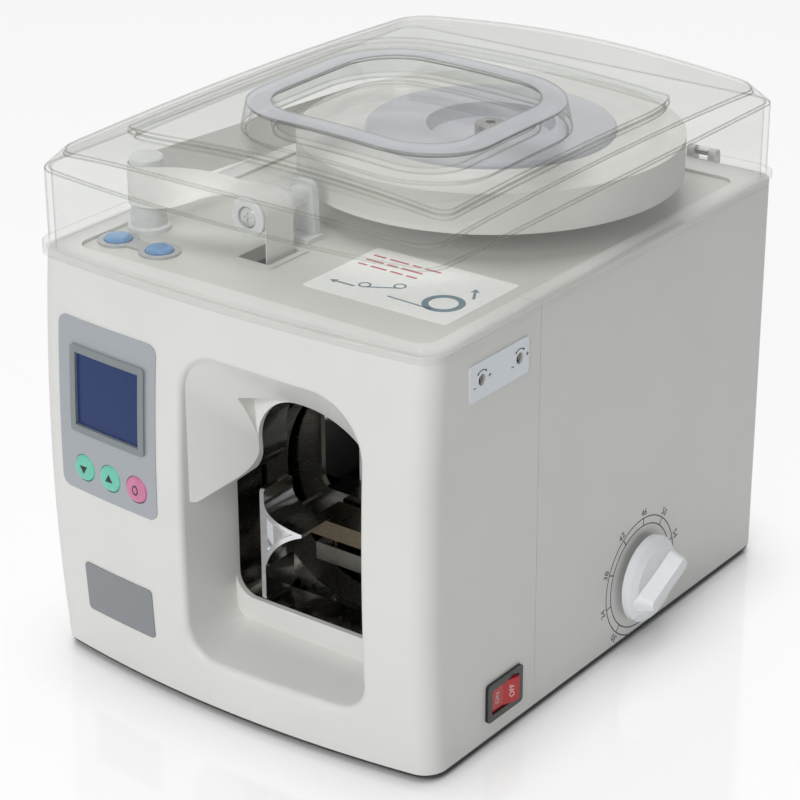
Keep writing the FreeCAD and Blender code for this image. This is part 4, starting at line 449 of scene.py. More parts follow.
def blue_button(name, colour):
    """Translucent blue cap."""
    f = Finish(name, colour, 0.16)
    f.mottle(240.0, 0.18)
    f.uneven(120.0, 0.05)
    f.set("Subsurface Weight", 0.15)
    f.set("Subsurface Radius", (0.002, 0.002, 0.003))
    f.set("Coat Weight", 0.4)
    return f


def ink(name, colour):
    """Screen print: slightly uneven cover."""
    f = Finish(name, colour, 0.5, specular=0.3)
    f.mottle(900.0, 0.12)
    f.bump(f.noise(2500.0, 2.0), 0.00001, 0.5)
    return f


MATERIALS = {}
# Nodes with another finish than their material slot's: the throat's liner and frame plate get a
# steel darkened as painted shade and painted dark reflections of the feed throat.
OWN_FINISH = {"paper_reel": "reel", "throat_liner": "throat_steel", "frame_plate": "throat_steel"}


def make_finishes(colours):
    """Every finish by the name of its material slot, and the inks of the marks."""
    reel_axis = middle_of("paper_reel")
    hue = {name: tuple(getattr(colours, name)) for name in StrapperColours.__annotations__}
    made = {
        "casing": moulded("casing_plastic", hue["casing"]),
        "black_steel": painted("black_powder_coat", (0.018, 0.018, 0.02)),
        "foot_rubber": rubber("foot_rubber", (0.02, 0.02, 0.021)),
        "deck": moulded("deck_plastic", hue["deck"], 0.36, 1300.0),
        # The cover's grey rim colour is painted shade, shown where the cover is met aslant.
        "clear_cover": clear_plastic("clear_cover_plastic", hue["clear"], hexed("A6A9A2")),
        "clear_edge": clear_edge("clear_cover_edge", hexed("75776E")),
        "film": frosted("frosted_band_film", hexed("D3D4DD"), 0.5),
        "steel": brushed("turned_steel", (0.30, 0.29, 0.27), 0.3, 420.0, (1, 6, 1)),
        "bright_steel": brushed("polished_steel", (0.74, 0.75, 0.76), 0.14, 300.0, (1, 1, 8)),
        # Painted shade: steel darkened to stand for the shade and dark reflections inside the feed
        # throat.
        "throat_steel": brushed("throat_steel", (0.15, 0.145, 0.13), 0.2, 240.0, (1, 1, 6)),
        "panel_silver": metallic_print("panel_silver_print", hue["panel"]),
        "dark_frame": polished_plastic("display_frame_plastic", hue["frame"], 0.34),
        "lcd": display_glass("blue_display", hue["display"]),
        "circuit_board": circuit("circuit_board"),
        "key_green": domed_key("green_key", hue["green"], 0.06),
        "key_pink": domed_key("pink_key", hue["pink"], 0.12),
        "label_silver": metallic_print("adjuster_plate_print", hue["label"], 0.42),
        "white_plastic": polished_plastic("white_plastic", hexed("E4E6E6"), 0.28),
        "knob_plastic": polished_plastic("knob_plastic", hue["knob"], 0.3),
        "black_plastic": polished_plastic("black_plastic", (0.014, 0.014, 0.015), 0.3),
        "red_plastic": polished_plastic("red_rocker_plastic", hue["rocker"], 0.22),
        "hub_grey": polished_plastic("grey_hub_plastic", hexed("C0C1CB"), 0.33),
        "motor_black": painted("motor_paint", (0.022, 0.022, 0.025), 0.42),
        "roller_rubber": rubber("drive_rubber", (0.035, 0.035, 0.036)),
        "zinc": brushed("zinc_plate", (0.62, 0.63, 0.62), 0.42, 260.0, (4, 1, 1)),
        "brass": brushed("heater_bronze", (0.13, 0.105, 0.075), 0.32, 300.0),
        "paper": paper("tape_paper", hue["paper"]),
        "reel": wound_paper("wound_tape", hue["paper"], reel_axis),
        "plate_grey": metallic_print("button_plate_print", hexed("B9BBBA"), 0.4),
        "button_blue": blue_button("blue_button_plastic", hue["button"]),
        "ink": ink("dark_ink", hue["ink"]),
        "red_ink": ink("red_ink", hexed("C4656A")),
        "blue_ink": ink("blue_ink", hexed("5F7D8C")),
        "white_ink": ink("white_ink", hexed("F0DEDE")),
        "label_paper": paper("label_film", hexed("F8F8F6")),
        "name_plate": metallic_print("name_plate_satin", hexed("8C8F93"), 0.36),
    }
    MATERIALS.update({name: finish.material for name, finish in made.items()})


# ------------------------------------------------------------------ modelling helpers
RAY_START = 0.05
PRINT_GAP = 0.00001


def settle(bm, name, body, material, smooth=False):
    """Turn a finished bmesh into a piece that rides on a body."""
    mesh = bpy.data.meshes.new(name)
    bm.to_mesh(mesh)
    bm.free()
    for face in mesh.polygons:
        face.use_smooth = smooth
    piece = bpy.data.objects.new(name, mesh)
    bpy.context.scene.collection.objects.link(piece)
    mesh.materials.append(MATERIALS[material])
    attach(piece, body)
    return piece


def surface_of(node):
    """A search tree of one CAD node's surface."""
    mesh = frame["nodes"][node].data
    return BVHTree.FromPolygons([v.co for v in mesh.vertices], [p.vertices for p in mesh.polygons])


def verts_of(made):
    return [g for g in made["geom"] if isinstance(g, bmesh.types.BMVert)]


def thicken(bm, thickness):
    """Give a flat face a thickness towards +Z, and close it."""
    made = bmesh.ops.extrude_face_region(bm, geom=bm.faces[:])
    bmesh.ops.translate(bm, verts=verts_of(made), vec=(0, 0, thickness))
    bmesh.ops.recalc_face_normals(bm, faces=bm.faces[:])


def bar_face(length, width):
    """A flat rectangle about the origin."""
    bm = bmesh.new()
    bmesh.ops.create_grid(bm, x_segments=1, y_segments=1, size=0.5)
    bmesh.ops.scale(bm, vec=(length, width, 1), verts=bm.verts[:])
    return bm


def rounded_face(width, height, corner):
    """A flat rounded rectangle about the origin."""
    bm = bar_face(width, height)
    bmesh.ops.bevel(bm, geom=bm.verts[:], offset=corner, offset_type="OFFSET", segments=6,
                    profile=0.5, affect="VERTICES", material=-1)
    return bm


def sliced(bm, place, normal, **clear):
    """Cut a mesh along a plane; clear_inner or clear_outer takes one side away."""
    bmesh.ops.bisect_plane(bm, geom=bm.verts[:] + bm.edges[:] + bm.faces[:], dist=1e-7,
                           plane_co=place, plane_no=normal, **clear)


def strips(bm, width, count):
    """Cut a flat face across its width, so that it can follow a curve."""
    for i in range(1, count):
        sliced(bm, (-width / 2 + width * i / count, 0, 0), (1, 0, 0))


def ring_face(radius, line, segments=96):
    """A flat ring about the origin."""
    bm = bmesh.new()
    for r in (radius - line / 2, radius + line / 2):
        bmesh.ops.create_circle(bm, cap_ends=False, segments=segments, radius=r)
    bmesh.ops.bridge_loops(bm, edges=bm.edges[:])
    return bm


def meshed(curve):
    """The bmesh of a text or curve."""
    holder = bpy.data.objects.new(curve.name, curve)
    bpy.context.scene.collection.objects.link(holder)
    bpy.context.view_layer.update()
    mesh = bpy.data.meshes.new_from_object(holder)
    bpy.data.objects.remove(holder)
    bm = bmesh.new()
    bm.from_mesh(mesh)
    bpy.data.meshes.remove(mesh)
    return bm


def text_face(words, height):
    """Flat letters or numbers about the origin."""
    curve = bpy.data.curves.new("letters", "FONT")
    curve.body = words
    curve.size = height * 1.4
    curve.align_x = "CENTER"
    curve.align_y = "CENTER"
    curve.resolution_u = 4
    bm = meshed(curve)
    bmesh.ops.remove_doubles(bm, verts=bm.verts[:], dist=1e-6)
    lows = [min(v.co[i] for v in bm.verts) for i in (0, 1)]
    highs = [max(v.co[i] for v in bm.verts) for i in (0, 1)]
    middle = [-(a + b) / 2 for a, b in zip(lows, highs)]
    bmesh.ops.translate(bm, verts=bm.verts[:], vec=(middle[0], middle[1], 0))
    return bm


def arrow_face(length, width, head):
    """A flat arrow along +X: a shaft and a three-sided head."""
    bm = bar_face(length - head, width)
    bmesh.ops.translate(bm, verts=bm.verts[:], vec=(-head / 2, 0, 0))
    made = bmesh.ops.create_circle(bm, cap_ends=True, segments=3, radius=head * 0.62)
    turn = Matrix.Rotation(math.radians(-90), 4, "Z")
    bmesh.ops.rotate(bm, cent=(0, 0, 0), matrix=turn, verts=made["verts"])
    bmesh.ops.translate(bm, verts=made["verts"], vec=(length / 2 - head * 0.62, 0, 0))
    return bm


def joined(parts):
    """One bmesh of several, each (bmesh, matrix)."""
    whole = bmesh.new()
    for bm, matrix in parts:
        bmesh.ops.transform(bm, matrix=matrix, verts=bm.verts[:])
        mesh = bpy.data.meshes.new("part")
        bm.to_mesh(mesh)
        bm.free()
        whole.from_mesh(mesh)
        bpy.data.meshes.remove(mesh)
    return whole


def facing(place, normal, up=(0, 0, 1), turn=0.0):
    """Matrix that lays the XY plane at a place, its Z along normal and its Y towards up."""
    z = Vector(normal).normalized()
    x = Vector(up).cross(z).normalized()
    y = z.cross(x)
    square = Matrix((x, y, z)).transposed().to_4x4()
    return Matrix.Translation(place) @ square @ Matrix.Rotation(turn, 4, "Z")


def print_flat(bm, name, material, matrix, lift):
    """Thicken a flat shape a little and set it on a flat surface of the casing."""
    thicken(bm, lift)
    bmesh.ops.transform(bm, matrix=matrix, verts=bm.verts[:])
    settle(bm, name, "casing", material)


def print_curved(bm, name, body, material, matrix, node, lift):
    """Thicken a flat shape a little and lay it on a curved node along the matrix's Z."""
    thicken(bm, lift)
    bmesh.ops.transform(bm, matrix=matrix, verts=bm.verts[:])
    way = -(matrix.to_3x3() @ Vector((0, 0, 1)))
    zero = -matrix.translation.dot(way)
    tree = surface_of(node)
    for vert in bm.verts:
        height = -vert.co.dot(way) - zero
        hit, _, _, _ = tree.ray_cast(vert.co - way * RAY_START, way)
        if hit is None:
            raise RuntimeError(f"{name} misses {node}")
        vert.co = hit - way * (height + PRINT_GAP)
    settle(bm, name, body, material)


# ------------------------------------------------------------------ pieces
class STRAPPER_OT_finishes(Operator):
    """Give every CAD node its finish"""

    bl_idname = "strapper.finishes"
    bl_label = "Finishes"

    def execute(self, context):
        make_finishes(context.scene.strapper_colours)
        slots = {row["node"]: row["material_slot"] for row in frame["record"]["subparts"]}
        for name, node in frame["nodes"].items():
            finish = OWN_FINISH.get(name, slots[name])
            if not node.material_slots:
                node.data.materials.append(MATERIALS[finish])
            for place in node.material_slots:
                place.material = MATERIALS[finish]
        return {"FINISHED"}


NAME_PLATE_AT = spot(-65.5, -20, 43.2)
RATING_PLATE_AT = Vector((MID_X + 52 * MM, BACK_Y, 82 * MM))


class STRAPPER_OT_plates(Operator):
    """Bare name plate on the front and bare rating plate on the back"""

    bl_idname = "strapper.plates"
    bl_label = "Plates"

    def execute(self, context):
        s = context.scene.strapper_sizes
        bm = rounded_face(s.plate_width, s.plate_height, s.plate_corner)
        strips(bm, s.plate_width, 16)
        print_curved(bm, "name_plate", "casing", "name_plate",
                     facing(NAME_PLATE_AT, (0, -1, 0)), "front_shell", 0.6 * MM)
        bm = rounded_face(s.rating_width, s.rating_height, s.label_corner)
        print_flat(bm, "rating_plate", "name_plate",
                   facing(RATING_PLATE_AT, (0, 1, 0)), 0.3 * MM)
        return {"FINISHED"}


# The raised panel and band of the cover's top, in millimetres from the casing's corner: where the
# solid has them, and where they look right.
SHIFT_X = ((-85.2, -94.0), (-63.2, -50.0), (59.1, 87.0), (81.2, 96.0))
SHIFT_Y = ((51.0, 35.0), (83.1, 47.0), (204.9, 175.0), (237.0, 229.0))
# The top's gentle dome across and along: its rise, half its span and its middle.
CROWN = ((6.9, 108.1, 0.0), (3.2, 139.1, 146.0))
CROWN_EASE = 0.3
PANEL_REACH = 130 * MM
SHARP = math.radians(14)
# Heights of the cover, as shares of the whole, above the rim and above the shoulder.
ABOVE_RIM = 0.2
ABOVE_SHOULDER = 0.55
BEAD_SINK = 1.45
BAND_DEPTH = 1.0 * MM
FILM_SINK = 0.4 * MM
FILM_THICK = 0.1 * MM


def creases(bm, above):
    """Closed rings of verts along the sharp edges of a mesh above a height."""
    edges = dict.fromkeys(e for e in bm.edges if e.calc_face_angle(0) > SHARP
                          and min(v.co.z for v in e.verts) > above)
    rings = []
    while edges:
        edge = edges.popitem()[0]
        ring = list(edge.verts)
        while True:
            onward = [e for e in ring[-1].link_edges if e in edges]
            if not onward:
                break
            del edges[onward[0]]
            ring.append(onward[0].other_vert(ring[-1]))
        if ring[0] is ring[-1]:
            rings.append(ring[:-1])
    return rings


def moved(value, stops):
    """Map a coordinate through pairs of old and new places."""
    value = min(max(value, stops[0][0]), stops[-1][0])
    for (old, new), (old_next, new_next) in zip(stops, stops[1:]):
        if value <= old_next:
            return new + (value - old) * (new_next - new) / (old_next - old)


def within(value, stops):
    return stops[0][0] - 1 < value < stops[-1][0] + 1


def crown_rise(*place):
    """Rise of the cover's gently domed top at a place, in millimetres."""
    return sum(rise * (1 - ((at - middle) / half) ** 2)
               for at, (rise, half, middle) in zip(place, CROWN))


def cut_flats(bm, rings, above):
    """Take out the level faces round the raised panel, and give the pairs of rings they joined."""
    walls = {bm.edges.get((a, b)) for ring in rings for a, b in zip(ring, ring[1:] + ring[:1])}
    left = dict.fromkeys(f for f in bm.faces if abs(f.normal.z) > 0.9
                         and f.calc_center_median().z > above)
    gone, gaps = [], []
    while left:
        region = [left.popitem()[0]]
        for face in region:
            for edge in face.edges:
                if edge not in walls:
                    onward = [f for f in edge.link_faces if f in left]
                    for other in onward:
                        del left[other]
                    region.extend(onward)
        span = [v.co.x for f in region for v in f.verts]
        if max(span) - min(span) > PANEL_REACH:
            gone += region
            gaps.append(list(dict.fromkeys(e for f in region for e in f.edges if e in walls)))
    bmesh.ops.delete(bm, geom=gone, context="FACES")
    return gaps


def shift_panel(bm, rings, above):
    """Move the raised panel and band to where they look right, and close the top round them."""
    gaps = cut_flats(bm, rings, above)
    corner = spot(0, 0, 0)
    for vert in bm.verts:
        x, y, _ = (vert.co - corner) / MM
        if vert.co.z > above and within(x, SHIFT_X) and within(y, SHIFT_Y):
            new_x, new_y = moved(x, SHIFT_X), moved(y, SHIFT_Y)
            sink = crown_rise(new_x, new_y) - crown_rise(x, y) - CROWN_EASE
            vert.co += Vector((new_x - x, new_y - y, sink)) * MM
    for gap in gaps:
        for face in bmesh.ops.bridge_loops(bm, edges=gap)["faces"]:
            face.smooth = True
    bmesh.ops.recalc_face_normals(bm, faces=bm.faces[:])
    bm.normal_update()


def edge_beads(rings, radius):
    """Thin closed tubes just under the cover's edges."""
    curve = bpy.data.curves.new("edges", "CURVE")
    curve.dimensions = "3D"
    curve.bevel_depth = radius
    curve.bevel_resolution = 2
    for ring in rings:
        spline = curve.splines.new("POLY")
        spline.points.add(len(ring) - 1)
        spline.use_cyclic_u = True
        for point, vert in zip(spline.points, ring):
            point.co = (*(vert.co - vert.normal * radius * BEAD_SINK), 1)
    beads = meshed(curve)
    bmesh.ops.recalc_face_normals(beads, faces=beads.faces[:])
    return beads


def band_film(bm, top):
    """A thin sheet just under the top of the raised band."""
    film = bm.copy()
    corner = spot(0, 0, 0)
    level = top - crown_rise(CROWN[0][2], CROWN[1][2]) * MM - BAND_DEPTH
    others = []
    for face in film.faces:
        middle = face.calc_center_median()
        x, y, _ = (middle - corner) / MM
        if face.normal.z < 0.9 or middle.z - crown_rise(x, y) * MM < level:
            others.append(face)
    bmesh.ops.delete(film, geom=others, context="FACES")
    bmesh.ops.translate(film, verts=film.verts[:], vec=(0, 0, -FILM_SINK))
    thicken(film, FILM_THICK)
    return film


class STRAPPER_OT_cover(Operator):
    """Clear cover with its raised panel and band, its rounded edges and the band's frosted film"""

    bl_idname = "strapper.cover"
    bl_label = "Cover"

    def execute(self, context):
        low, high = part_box("dust_cover")
        height = high.z - low.z
        bm = bmesh.new()
        bm.from_mesh(frame["nodes"]["dust_cover"].data)
        bmesh.ops.remove_doubles(bm, verts=bm.verts[:], dist=1e-6)
        bm.normal_update()
        for edge in bm.edges:
            edge.smooth = edge.calc_face_angle(0) < SHARP
        rings = creases(bm, low.z + ABOVE_RIM * height)
        shift_panel(bm, rings, low.z + ABOVE_SHOULDER * height)
        settle(edge_beads(rings, context.scene.strapper_sizes.edge_bead), "cover_edges", "cover",
               "clear_edge", smooth=True)
        settle(band_film(bm, high.z), "band_film", "cover", "film")
        shell = settle(bm, "clear_cover", "cover", "clear_cover", smooth=True)
        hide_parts("dust_cover")
        return {"FINISHED"}


ARROW_RADIUS = 2.7 * MM
NOUGHT_RADIUS = 1.9 * MM
NOUGHT_LINE = 0.7 * MM


class STRAPPER_OT_key_marks(Operator):
    """Arrows on the green keys and a nought on the pink one"""

    bl_idname = "strapper.key_marks"
    bl_label = "Key marks"

    def execute(self, context):
        lift = context.scene.strapper_sizes.print_lift
        for node, body, turn in (("key_down", "down_key", 180.0), ("key_up", "up_key", 0.0)):
            bm = bmesh.new()
            bmesh.ops.create_circle(bm, cap_ends=True, segments=3, radius=ARROW_RADIUS)
            bmesh.ops.subdivide_edges(bm, edges=bm.edges[:], cuts=3, use_grid_fill=True)
            bmesh.ops.triangulate(bm, faces=bm.faces[:])
            matrix = facing(middle_of(node), (0, -1, 0), turn=math.radians(turn))
            print_curved(bm, node + "_arrow", body, "ink", matrix, node, lift)
        bm = ring_face(NOUGHT_RADIUS, NOUGHT_LINE, 24)
        bmesh.ops.scale(bm, vec=(0.8, 1.15, 1), verts=bm.verts[:])
        print_curved(bm, "key_clear_mark", "clear_key", "ink",
                     facing(middle_of("key_clear"), (0, -1, 0)), "key_clear", lift)
        return {"FINISHED"}


DIAL_CENTRE = spot(115, 175, 34)
DIAL_FOOT = 3.6 * MM
DIAL_LOW = 30
DIAL_STEP = 4
QUARTER = math.radians(90)


class STRAPPER_OT_dial(Operator):
    """Printed rings, ticks and numbers round the length knob"""

    bl_idname = "strapper.dial"
    bl_label = "Dial"

    def execute(self, context):
        s = context.scene.strapper_sizes
        wall = facing(DIAL_CENTRE, (1, 0, 0))
        parts = [(ring_face(radius, s.dial_line, 128), Matrix.Identity(4))
                 for radius in (s.dial_outer, s.dial_inner)]
        band = (s.dial_outer + s.dial_inner) / 2
        reach = s.dial_outer + s.numeral * 0.85
        turns = [Matrix.Rotation(s.dial_start - i * s.dial_step, 4, "Z")
                 for i in range(s.dial_numbers)]
        parts += [(bar_face(s.dial_outer - s.dial_inner, s.dial_line),
                   turn @ Matrix.Translation((band, 0, 0))) for turn in turns]
        bm = joined(parts)
        sliced(bm, (0, DIAL_FOOT - DIAL_CENTRE.z, 0), (0, 1, 0), clear_inner=True)
        print_flat(bm, "dial_rings", "ink", wall, s.print_lift)
        for i, turn in enumerate(turns):
            number = DIAL_LOW + DIAL_STEP * i
            bm = text_face(str(number), s.numeral)
            bmesh.ops.dissolve_limit(bm, angle_limit=0.01, verts=bm.verts[:], edges=bm.edges[:])
            upright = turn @ Matrix.Translation((reach, 0, 0)) @ Matrix.Rotation(-QUARTER, 4, "Z")
            print_flat(bm, f"dial_number_{number}", "ink", wall @ upright,
                       s.print_lift)
        return {"FINISHED"}


class STRAPPER_OT_switch_marks(Operator):
    """ON and OFF on the rocker"""

    bl_idname = "strapper.switch_marks"
    bl_label = "Switch marks"

    def execute(self, context):
        s = context.scene.strapper_sizes
        low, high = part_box("switch_rocker")
        for words, share in (("ON", 0.27), ("OFF", 0.76)):
            place = middle_of("switch_rocker")
            place.y = low[1] + (high[1] - low[1]) * share
            print_curved(text_face(words, s.rocker_letter), "rocker_" + words.lower(), "rocker",
                         "white_ink", facing(place, (1, 0, 0), turn=QUARTER),
                         "switch_rocker", s.print_lift)
        return {"FINISHED"}


ARC_START = math.radians(50)
ARC_END = math.radians(130)
TIP_RADIUS = 0.8 * MM
SIGN = 1.8 * MM
MINUS_AT = Vector((-5.6, -2.4, 0)) * MM
PLUS_AT = Vector((5.8, 0.4, 0)) * MM


class STRAPPER_OT_adjuster_marks(Operator):
    """Arcs, plus and minus round the two side adjusters"""

    bl_idname = "strapper.adjuster_marks"
    bl_label = "Adjuster marks"

    def execute(self, context):
        s = context.scene.strapper_sizes
        for node in ("trimmer_front", "trimmer_rear"):
            centre = middle_of(node)
            centre.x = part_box("adjust_plate")[1][0]
            arc = ring_face(s.arc_radius, s.arc_line, 48)
            parts = [(arc, Matrix.Identity(4))]
            for angle, way, point in ((ARC_START, -1, math.pi), (ARC_END, 1, 0.0)):
                across = Vector((-math.sin(angle), math.cos(angle), 0)) * way
                sliced(arc, (0, 0, 0), across, clear_outer=True)
                tip = bmesh.new()
                bmesh.ops.create_circle(tip, cap_ends=True, segments=3, radius=TIP_RADIUS)
                end = Vector((math.cos(angle), math.sin(angle), 0)) * s.arc_radius
                parts.append((tip, facing(end, (0, 0, 1), up=(0, 1, 0), turn=angle + point)))
            for place, sizes in ((MINUS_AT, (SIGN, s.arc_line)), (PLUS_AT, (SIGN, s.arc_line)),
                                 (PLUS_AT, (s.arc_line, SIGN))):
                parts.append((bar_face(*sizes), Matrix.Translation(place)))
            print_flat(joined(parts), node + "_marks", "ink",
                       facing(centre, (1, 0, 0)), s.print_lift)
        return {"FINISHED"}


LABEL_AT = (53.5, 66.5, 0)
# Rows of dashes that stand for writing: their lengths and left end in millimetres.
LINES = ((7, 11, 5, 9), (10, 6, 12), (5, 9, 7, 6))
LINES_LEFT = -36


class STRAPPER_OT_deck_label(Operator):
    """Label on the deck with a plain threading diagram"""

    bl_idname = "strapper.deck_label"
    bl_label = "Deck label"

    def execute(self, context):
        s = context.scene.strapper_sizes
        centre = spot(*LABEL_AT)
        centre.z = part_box("button_plate")[0][2]
        flat = facing(centre, (0, 0, 1), up=(0, 1, 0))
        print_flat(rounded_face(s.label_width, s.label_height, s.label_corner), "deck_label",
                   "label_paper", flat, s.label_thick)
        face = flat @ Matrix.Translation((0, 0, s.label_thick))

        def at(x, y, turn=0.0):
            turned = Matrix.Rotation(math.radians(turn), 4, "Z")
            return Matrix.Translation((x * MM, y * MM, 0)) @ turned

        rows = []
        for row, lengths in enumerate(LINES):
            x = LINES_LEFT
            for length in lengths:
                rows.append((bar_face(length * MM, 1.5 * MM), at(x + length / 2, 20 - row * 6)))
                x += length + 2.2
        print_flat(joined(rows), "deck_label_lines", "red_ink", face, s.print_lift)
        path = [(ring_face(8.4 * MM, 3.2 * MM, 48), at(25, -9)),
                (ring_face(2.6 * MM, 1.0 * MM, 32), at(-3, -4)),
                (ring_face(2.6 * MM, 1.0 * MM, 32), at(-17, -12)),
                (bar_face(25 * MM, 1.1 * MM), at(12, -17.2, -2)),
                (bar_face(16 * MM, 1.1 * MM), at(-9, -10.2, 30)),
                (arrow_face(14 * MM, 1.3 * MM, 4 * MM), at(-27, -16, 180)),
                (arrow_face(12 * MM, 1.3 * MM, 4 * MM), at(30, 8, 120))]
        print_flat(joined(path), "deck_label_diagram", "blue_ink", face,
                   s.print_lift)
        return {"FINISHED"}


def cross_head(radius):
    """A low round screw head with a cross recess, its foot at the origin and its top to +Z."""
    bm = bmesh.new()
    cell = radius * 0.26
    bmesh.ops.create_grid(bm, x_segments=3, y_segments=3, size=1.5)
    corners = [f for f in bm.faces if abs(f.calc_center_median().x) > 0.5
               and abs(f.calc_center_median().y) > 0.5]
    bmesh.ops.delete(bm, geom=corners, context="FACES")
    long_way = [v for v in bm.verts if max(abs(v.co.x), abs(v.co.y)) > 1]
    bmesh.ops.scale(bm, vec=(cell, cell, 1), verts=bm.verts[:])
    for vert in long_way:
        if abs(vert.co.x) > abs(vert.co.y):
            vert.co.x *= 1.35
        else:
            vert.co.y *= 1.35
    cross = bm.faces[:]
    rim = [e for e in bm.edges if len(e.link_faces) == 1]
    circle = bmesh.ops.create_circle(bm, cap_ends=False, segments=24, radius=radius * 0.8)
    loop = [e for e in bm.edges if all(v in circle["verts"] for v in e.verts)]
    bmesh.ops.bridge_loops(bm, edges=rim + loop)
    bmesh.ops.translate(bm, verts=bm.verts[:], vec=(0, 0, radius * 0.55))
    edge = [e for e in bm.edges if len(e.link_faces) == 1]
    for grow, drop in ((1.18, 0.12), (1.06, 0.22), (1.0, 0.21)):
        made = bmesh.ops.extrude_edge_only(bm, edges=edge)
        verts = verts_of(made)
        bmesh.ops.scale(bm, vec=(grow, grow, 1), verts=verts)
        bmesh.ops.translate(bm, verts=verts, vec=(0, 0, -radius * drop))
        edge = [g for g in made["geom"] if isinstance(g, bmesh.types.BMEdge)
                and all(v in verts for v in g.verts)]
    bmesh.ops.holes_fill(bm, edges=edge, sides=0)
    sunk = bmesh.ops.extrude_face_region(bm, geom=cross)
    verts = verts_of(sunk)
    bmesh.ops.translate(bm, verts=verts, vec=(0, 0, -radius * 0.4))
    bmesh.ops.scale(bm, vec=(0.8, 0.8, 1), verts=verts)
    loose = [f for f in cross if f.is_valid]
    bmesh.ops.delete(bm, geom=loose, context="FACES_ONLY")
    bmesh.ops.recalc_face_normals(bm, faces=bm.faces[:])
    return bm


BACK_SCREWS = (100 * MM, 50.5 * MM)
BASE_SCREWS = (62.0, (52.0, 240.0))


class STRAPPER_OT_screws(Operator):
    """Cross-head screws of the back and of the base"""

    bl_idname = "strapper.screws"
    bl_label = "Screws"

    def execute(self, context):
        radius = context.scene.strapper_sizes.screw_radius
        places = []
        for side in (-1, 1):
            x, z = BACK_SCREWS
            places.append((Vector((MID_X + side * x, BACK_Y, z)), (0, 1, 0), (0, 0, 1)))
            x, rows = BASE_SCREWS
            for y in rows:
                low = spot(side * x, y, 0)
                low.z = BASE_LOW[2]
                places.append((low, (0, 0, -1), (0, 1, 0)))
        for number, (place, normal, up) in enumerate(places, 1):
            bm = cross_head(radius)
            bmesh.ops.transform(bm, matrix=facing(place, normal, up, 0.4 * number),
                                verts=bm.verts[:])
            settle(bm, f"screw_{number}", "casing", "steel")
        return {"FINISHED"}


# ------------------------------------------------------------------ studio
VIEW = {"turn": 36.942, "height": 24.455, "roll": -0.278, "away": 1312.355,
        "target": (-12.624, 146.0, 106.387), "lens": 116.480}


LAMPS = (("key_light", (0.32, -1.95, 1.4), 1.2, 24.5), ("top_light", (-0.3, 0.2, 2.1), 1.4, 25.0))
SOFT_LIGHT = 0.145
FLOOR_GLOW = 1.03
FLOOR_SHARE = 0.88


def seen_rays(tree):
    """One for a ray from the lens, a reflection or a look through something clear."""
    path = tree.nodes.new("ShaderNodeLightPath")
    first = maths(tree, "MAXIMUM", path.outputs["Is Camera Ray"], path.outputs["Is Glossy Ray"])
    return maths(tree, "MAXIMUM", first, path.outputs["Is Transmission Ray"])


def studio_world():
    """Soft white light, and plain white behind everything."""
    world = bpy.data.worlds.new("studio")
    bpy.context.scene.world = world
    world.use_nodes = True
    tree = world.node_tree
    tree.nodes.clear()
    out = tree.nodes.new("ShaderNodeOutputWorld")
    mix = tree.nodes.new("ShaderNodeMixShader")
    tree.links.new(seen_rays(tree), mix.inputs["Fac"])
    for socket, strength in ((1, SOFT_LIGHT), (2, 1.0)):
        white = tree.nodes.new("ShaderNodeBackground")
        white.inputs["Color"].default_value = (1, 1, 1, 1)
        white.inputs["Strength"].default_value = strength
        tree.links.new(white.outputs[0], mix.inputs[socket])
    tree.links.new(mix.outputs[0], out.inputs["Surface"])


def studio_floor():
    """Pale glossy sheet that glows towards the lens except where something stands close by; there
    the glow fades, which paints a contact shade.
    """
    bm = bmesh.new()
    bmesh.ops.create_grid(bm, x_segments=8, y_segments=8, size=4.0)
    mesh = bpy.data.meshes.new("floor")
    bm.to_mesh(mesh)
    bm.free()
    floor = bpy.data.objects.new("floor", mesh)
    bpy.context.scene.collection.objects.link(floor)
    f = Finish("floor_sheet", (0.92, 0.92, 0.92), 0.6, specular=0.0)
    f.mottle(6.0, 0.01)
    glow = f.add("ShaderNodeEmission")
    glow.inputs["Color"].default_value = (1, 1, 1, 1)
    glow.inputs["Strength"].default_value = FLOOR_GLOW
    # Painted shade: ambient occlusion takes the glow away near the machine, so the floor darkens
    # round its foot.
    painted_contact_shade = f.add("ShaderNodeAmbientOcclusion")
    painted_contact_shade.inputs["Distance"].default_value = 0.05
    open_air = f.between(painted_contact_shade.outputs["AO"], 0.0, 1.0, 0.3, 0.95)
    lit = maths(f.tree, "MULTIPLY", seen_rays(f.tree), open_air)
    share = maths(f.tree, "MULTIPLY", lit, FLOOR_SHARE)
    gloss = f.add("ShaderNodeBsdfGlossy")
    gloss.inputs["Roughness"].default_value = 0.09
    fresnel = f.add("ShaderNodeFresnel")
    fresnel.inputs["IOR"].default_value = 1.75
    matt = f.layers(share, f.shader.outputs[0], glow.outputs[0])
    f.surface(f.layers(fresnel.outputs[0], matt, gloss.outputs[0]))
    mesh.materials.append(f.material)


def soft_lamp(name, place, aim, size, power):
    lamp = bpy.data.lights.new(name, "AREA")
    lamp.shape = "SQUARE"
    lamp.size = size
    lamp.energy = power
    holder = bpy.data.objects.new(name, lamp)
    bpy.context.scene.collection.objects.link(holder)
    holder.location = place
    holder.rotation_mode = "QUATERNION"
    holder.rotation_quaternion = (Vector(aim) - Vector(place)).to_track_quat("-Z", "Y")


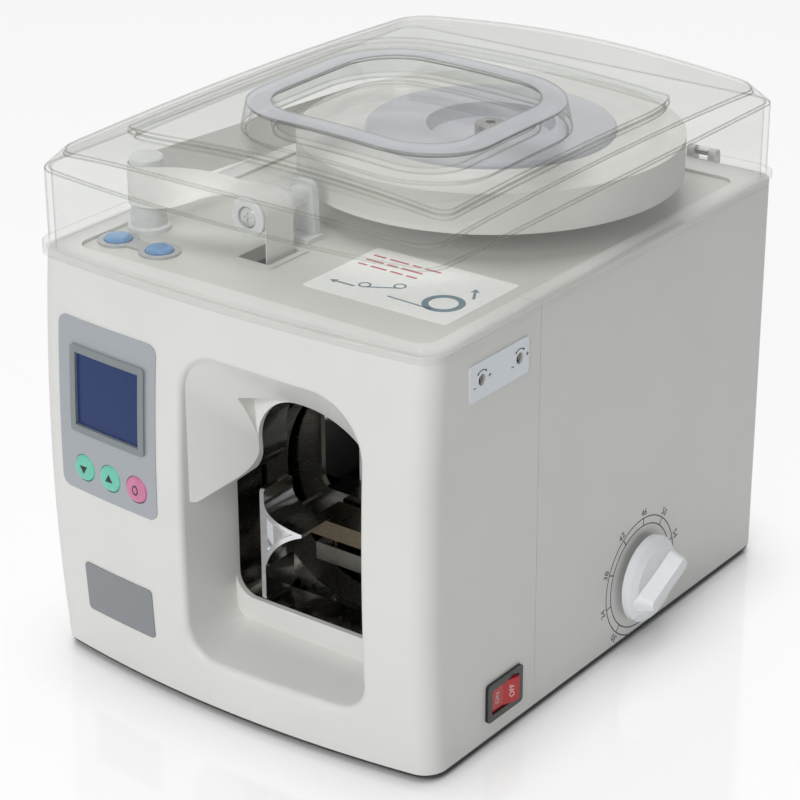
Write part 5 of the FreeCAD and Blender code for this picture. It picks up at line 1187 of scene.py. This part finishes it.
class STRAPPER_OT_stage(Operator):
    """Floor, soft light, white surroundings and the camera"""

    bl_idname = "strapper.stage"
    bl_label = "Stage"

    def execute(self, context):
        studio_world()
        studio_floor()
        middle = spot(0, 146, 130)
        for name, place, size, power in LAMPS:
            soft_lamp(name, place, middle, size, power)
        turn, height = math.radians(VIEW["turn"]), math.radians(VIEW["height"])
        roll = math.radians(VIEW["roll"])
        back = Vector((math.sin(turn) * math.cos(height), -math.cos(turn) * math.cos(height),
                       math.sin(height)))
        right = Vector((math.cos(turn), math.sin(turn), 0))
        up = back.cross(right)
        across = right * math.cos(roll) + up * math.sin(roll)
        above = up * math.cos(roll) - right * math.sin(roll)
        lens = bpy.data.cameras.new("camera")
        lens.sensor_width = 36.0
        lens.lens = VIEW["lens"]
        lens.clip_start = 0.05
        lens.clip_end = 30.0
        camera = bpy.data.objects.new("camera", lens)
        context.scene.collection.objects.link(camera)
        place = spot(*VIEW["target"]) + back * VIEW["away"] * MM
        turned = Matrix((across, above, back)).transposed()
        camera.matrix_world = Matrix.Translation(place) @ turned.to_4x4()
        context.scene.camera = camera
        context.scene.view_settings.view_transform = "Standard"
        return {"FINISHED"}


class STRAPPER_PT_panel(Panel):
    """Sizes, colours and pieces of the strapping machine"""

    bl_label = "Strapping machine"
    bl_idname = "STRAPPER_PT_panel"
    bl_space_type = "VIEW_3D"
    bl_region_type = "UI"
    bl_category = "Strapper"

    def draw(self, context):
        for group in (context.scene.strapper_sizes, context.scene.strapper_colours):
            box = self.layout.box()
            for name in group.bl_rna.properties.keys():
                if name not in ("rna_type", "name"):
                    box.prop(group, name)
        column = self.layout.column(align=True)
        for operator in OPERATORS:
            column.operator(operator.bl_idname)


OPERATORS = (STRAPPER_OT_finishes, STRAPPER_OT_cover, STRAPPER_OT_plates,
             STRAPPER_OT_key_marks, STRAPPER_OT_dial, STRAPPER_OT_switch_marks,
             STRAPPER_OT_adjuster_marks, STRAPPER_OT_deck_label, STRAPPER_OT_screws,
             STRAPPER_OT_stage)
CLASSES = (StrapperSizes, StrapperColours) + OPERATORS + (STRAPPER_PT_panel,)


def register():
    for cls in CLASSES:
        bpy.utils.register_class(cls)
    bpy.types.Scene.strapper_sizes = PointerProperty(type=StrapperSizes)
    bpy.types.Scene.strapper_colours = PointerProperty(type=StrapperColours)


def unregister():
    del bpy.types.Scene.strapper_colours
    del bpy.types.Scene.strapper_sizes
    for cls in reversed(CLASSES):
        bpy.utils.unregister_class(cls)


def main():
    register()
    for operator in OPERATORS:
        group, name = operator.bl_idname.split(".")
        getattr(getattr(bpy.ops, group), name)()
    bpy.context.view_layer.update()


if __name__ == "__main__":
    main()
